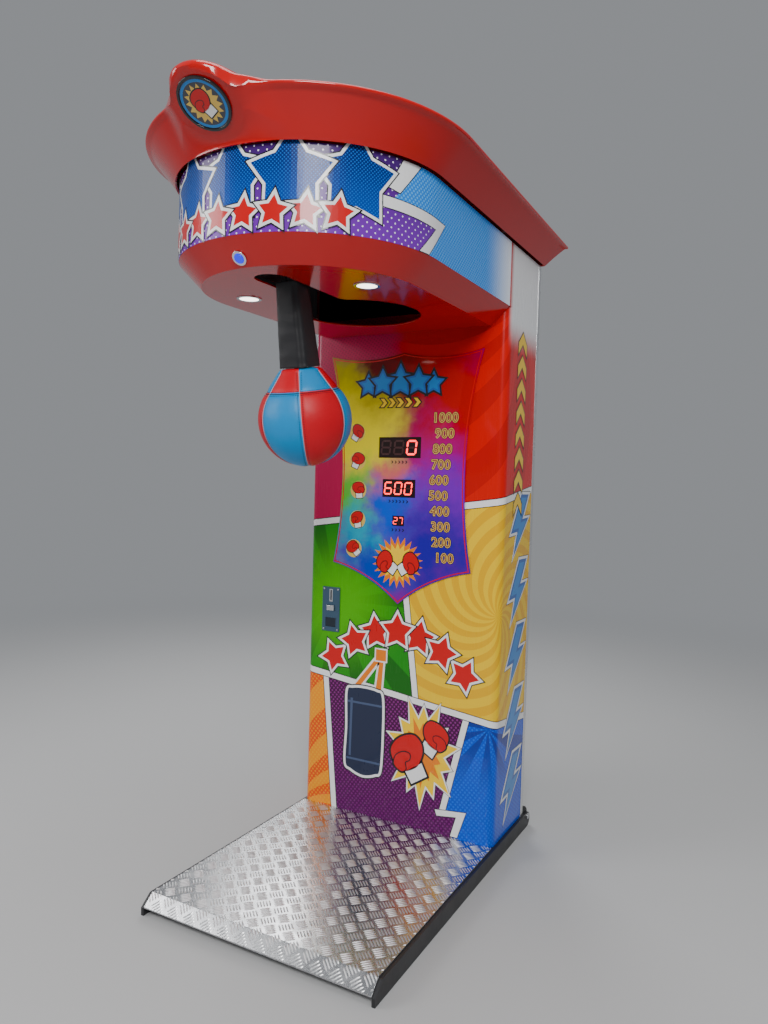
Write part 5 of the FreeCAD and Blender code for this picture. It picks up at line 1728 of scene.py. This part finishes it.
def keep_inside(piece, lean, radius):
    inverse, neck_up = lean.inverted(), bag_sizes()[1]
    for vert in piece.data.vertices:
        p = inverse @ vert.co
        if p.z > neck_up - 0.0008:
            p.z = neck_up - 0.0008
        if p.length > radius and p.z < radius*0.6:
            p *= radius/p.length
        vert.co = lean @ p
    piece.data.update()


def surface_of(piece):
    mesh = bmesh.new()
    mesh.from_mesh(piece.data)
    tree = BVHTree.FromBMesh(mesh)
    mesh.free()
    return tree


def tube(name, points, radius, body, slot, material, sides=8):
    """A round cord along a line of points; closed when its ends meet."""
    closed = (points[0] - points[-1]).length < 1e-5
    if closed:
        points = points[:-1]
    count = len(points)
    verts, side = [], None
    for i, p in enumerate(points):
        before = points[(i - 1) % count] if closed or i else points[0]
        after = points[(i + 1) % count] if closed or i < count - 1 else points[-1]
        run = (after - before).normalized()
        side = run.orthogonal() if side is None else (side - run*side.dot(run))
        side.normalize()
        up = run.cross(side)
        for k in range(sides):
            a = 2*math.pi*k/sides
            verts.append(p + (side*math.cos(a) + up*math.sin(a))*radius)
    faces = ring_faces(count, sides, wrap=closed)
    if not closed:
        faces.append(tuple(range(sides))[::-1])
        faces.append(tuple((count - 1)*sides + k for k in range(sides)))
    piece = from_lists(name, verts, faces)
    outward(piece)
    smooth(piece, 60)
    return finish_piece(piece, body, slot, material)


def stitches(name, line, side, lean, laid, thread):
    """A row of small stitches beside a seam."""
    gap, long, wide = 0.0055, 0.0030, 0.0007
    mesh = bmesh.new()
    centre = lean.to_translation()
    walked, next_at = 0.0, 0.002
    for a, b in zip(line, line[1:]):
        step = (b - a).length
        while walked + step > next_at:
            t = (next_at - walked)/step
            p, run = a.lerp(b, t), (b - a).normalized()
            out = p.normalized()
            across = out.cross(run)*side
            start = p + across*0.0052
            ends = [lean @ (start - run*long/2), lean @ (start + run*long/2)]
            ends = laid(ends, centre, 0.0001)
            flat, way = (ends[1] - ends[0]).normalized(), (ends[0] - centre).normalized()
            wing = flat.cross(way)*wide
            top = way*wide*0.9
            ring = [mesh.verts.new(q) for q in (ends[0] - wing, ends[0] + wing,
                                                ends[1] + wing, ends[1] - wing)]
            peak = [mesh.verts.new(q) for q in (ends[0] + flat*0.0007 + top,
                                                ends[1] - flat*0.0007 + top)]
            for face in ((ring[0], ring[3], peak[1], peak[0]), (ring[1], ring[0], peak[0]),
                         (ring[2], ring[1], peak[0], peak[1]), (ring[3], ring[2], peak[1]),
                         (ring[0], ring[1], ring[2], ring[3])):
                mesh.faces.new(face)
            next_at += gap
        walked += step
    bmesh.ops.recalc_face_normals(mesh, faces=mesh.faces)
    finish_piece(from_bmesh(name, mesh), "arm", "bag_leather", thread)


class MACHINE_OT_works(PunchOperator, bpy.types.Operator):
    """Finishes for the mast, mechanism, coin works and electrical boxes"""
    bl_idname = "machine.works"
    bl_label = "Works"

    def execute(self, context):
        done = {n for item in bpy.data.objects for n in item.get("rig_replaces", [])}
        for node in sorted(frame["nodes"]):
            if node not in done:
                refinish(node, finish_for(slot_of(node)), width=0.0004, segments=1)
        return {"FINISHED"}


BACKDROP = (0.27, 0.28, 0.295)
# how far from the origin the floor starts to pass into the backdrop, and where it ends
FLOOR_FADE = (1.2, 5.0)
# area lamps: name, place, size in metres, power in watts; all aim at the machine's middle
LAMPS = (("key", (1.7, -3.3, 3.0), 1.3, 118), ("fill", (-2.8, -2.4, 2.2), 1.6, 45),
         ("top", (0.2, -0.6, 4.0), 1.8, 40), ("back", (-1.8, 2.6, 2.6), 1.4, 40))
LAMP_AIM = (0, -0.2, 0.95)
CAMERA_PLACE = (0.98804, -1.91811, 1.01135)
CAMERA_TURN = (28.488, 2.2676, 1.5855)  # to the left, down and clockwise, in degrees
CAMERA_LENS, CAMERA_SENSOR = 27.12, 36


class MACHINE_OT_stage(PunchOperator, bpy.types.Operator):
    """Pale floor, soft lamps and the camera"""
    bl_idname = "machine.stage"
    bl_label = "Stage"

    def execute(self, context):
        self.floor()
        self.lamps()
        self.camera()
        return {"FINISHED"}

    def floor(self):
        """A pale floor that passes into the backdrop's colour far away."""
        material, tree, shader, where = blank("pale_floor")
        put(shader, {"Base Color": (0.50, 0.50, 0.50, 1), "Roughness": 0.7})
        far = value_node(tree, "ShaderNodeEmission", (*BACKDROP, 1))
        distance = vectors(tree, "LENGTH", where, output=1)
        blend = value_node(tree, "ShaderNodeMixShader", ramp(tree, distance, *FLOOR_FADE),
                           shader.outputs[0], far)
        put(tree.nodes["Material Output"], {"Surface": blend})
        deselect()
        bpy.ops.mesh.primitive_plane_add(size=60, location=(0, 0, 0))
        ground = bpy.context.object
        ground.name = "floor"
        ground.data.materials.append(material)

    def lamps(self):
        world = bpy.context.scene.world or bpy.data.worlds.new("World")
        bpy.context.scene.world = world
        world.use_nodes = True
        put(world.node_tree.nodes["Background"], {"Color": (*BACKDROP, 1), "Strength": 1.0})
        for name, place_at, size, power in LAMPS:
            data = bpy.data.lights.new(name, "AREA")
            data.size, data.energy = size, power
            lamp = linked(name, data)
            lamp.location = place_at
            way = Vector(LAMP_AIM) - lamp.location
            lamp.rotation_euler = way.to_track_quat("-Z", "Y").to_euler()

    def camera(self):
        yaw, pitch, roll = (math.radians(a) for a in CAMERA_TURN)
        forward = Vector((-math.sin(yaw)*math.cos(pitch), math.cos(yaw)*math.cos(pitch),
                          -math.sin(pitch)))
        right = Vector((math.cos(yaw), math.sin(yaw), 0))
        up = right.cross(forward)
        turned_right = right*math.cos(roll) + up*math.sin(roll)
        turned_up = up*math.cos(roll) - right*math.sin(roll)
        data = bpy.data.cameras.new("camera")
        data.lens, data.sensor_width = CAMERA_LENS, CAMERA_SENSOR
        data.clip_start, data.clip_end = 0.05, 100
        camera = linked("camera", data)
        place_at = Matrix((turned_right, turned_up, -forward)).transposed().to_4x4()
        place_at.translation = CAMERA_PLACE
        camera.matrix_world = place_at
        bpy.context.scene.camera = camera


PIECES = (MACHINE_OT_base, MACHINE_OT_cabinet, MACHINE_OT_front_pictures,
          MACHINE_OT_side_pictures, MACHINE_OT_head, MACHINE_OT_lights, MACHINE_OT_display,
          MACHINE_OT_coin_door, MACHINE_OT_bag, MACHINE_OT_works, MACHINE_OT_stage)


class MACHINE_PT_panel(bpy.types.Panel):
    """Lists the pieces and their settings"""
    bl_idname = "MACHINE_PT_panel"
    bl_label = "Punch Machine"
    bl_space_type = "VIEW_3D"
    bl_region_type = "UI"
    bl_category = "Punch Machine"

    def draw(self, context):
        for group in (context.scene.machine_sizes, context.scene.machine_colours):
            for key in group.__annotations__:
                self.layout.prop(group, key)
        for piece in PIECES:
            self.layout.operator(piece.bl_idname)


CLASSES = (MachineSizes, MachineColours, *PIECES, MACHINE_PT_panel)


def register():
    for item in CLASSES:
        bpy.utils.register_class(item)
    bpy.types.Scene.machine_sizes = PointerProperty(type=MachineSizes)
    bpy.types.Scene.machine_colours = PointerProperty(type=MachineColours)


def unregister():
    del bpy.types.Scene.machine_sizes, bpy.types.Scene.machine_colours
    for item in reversed(CLASSES):
        bpy.utils.unregister_class(item)


def main():
    register()
    for piece in PIECES:
        group, name = piece.bl_idname.split(".")
        getattr(getattr(bpy.ops, group), name)()


if __name__ == "__main__":
    main()
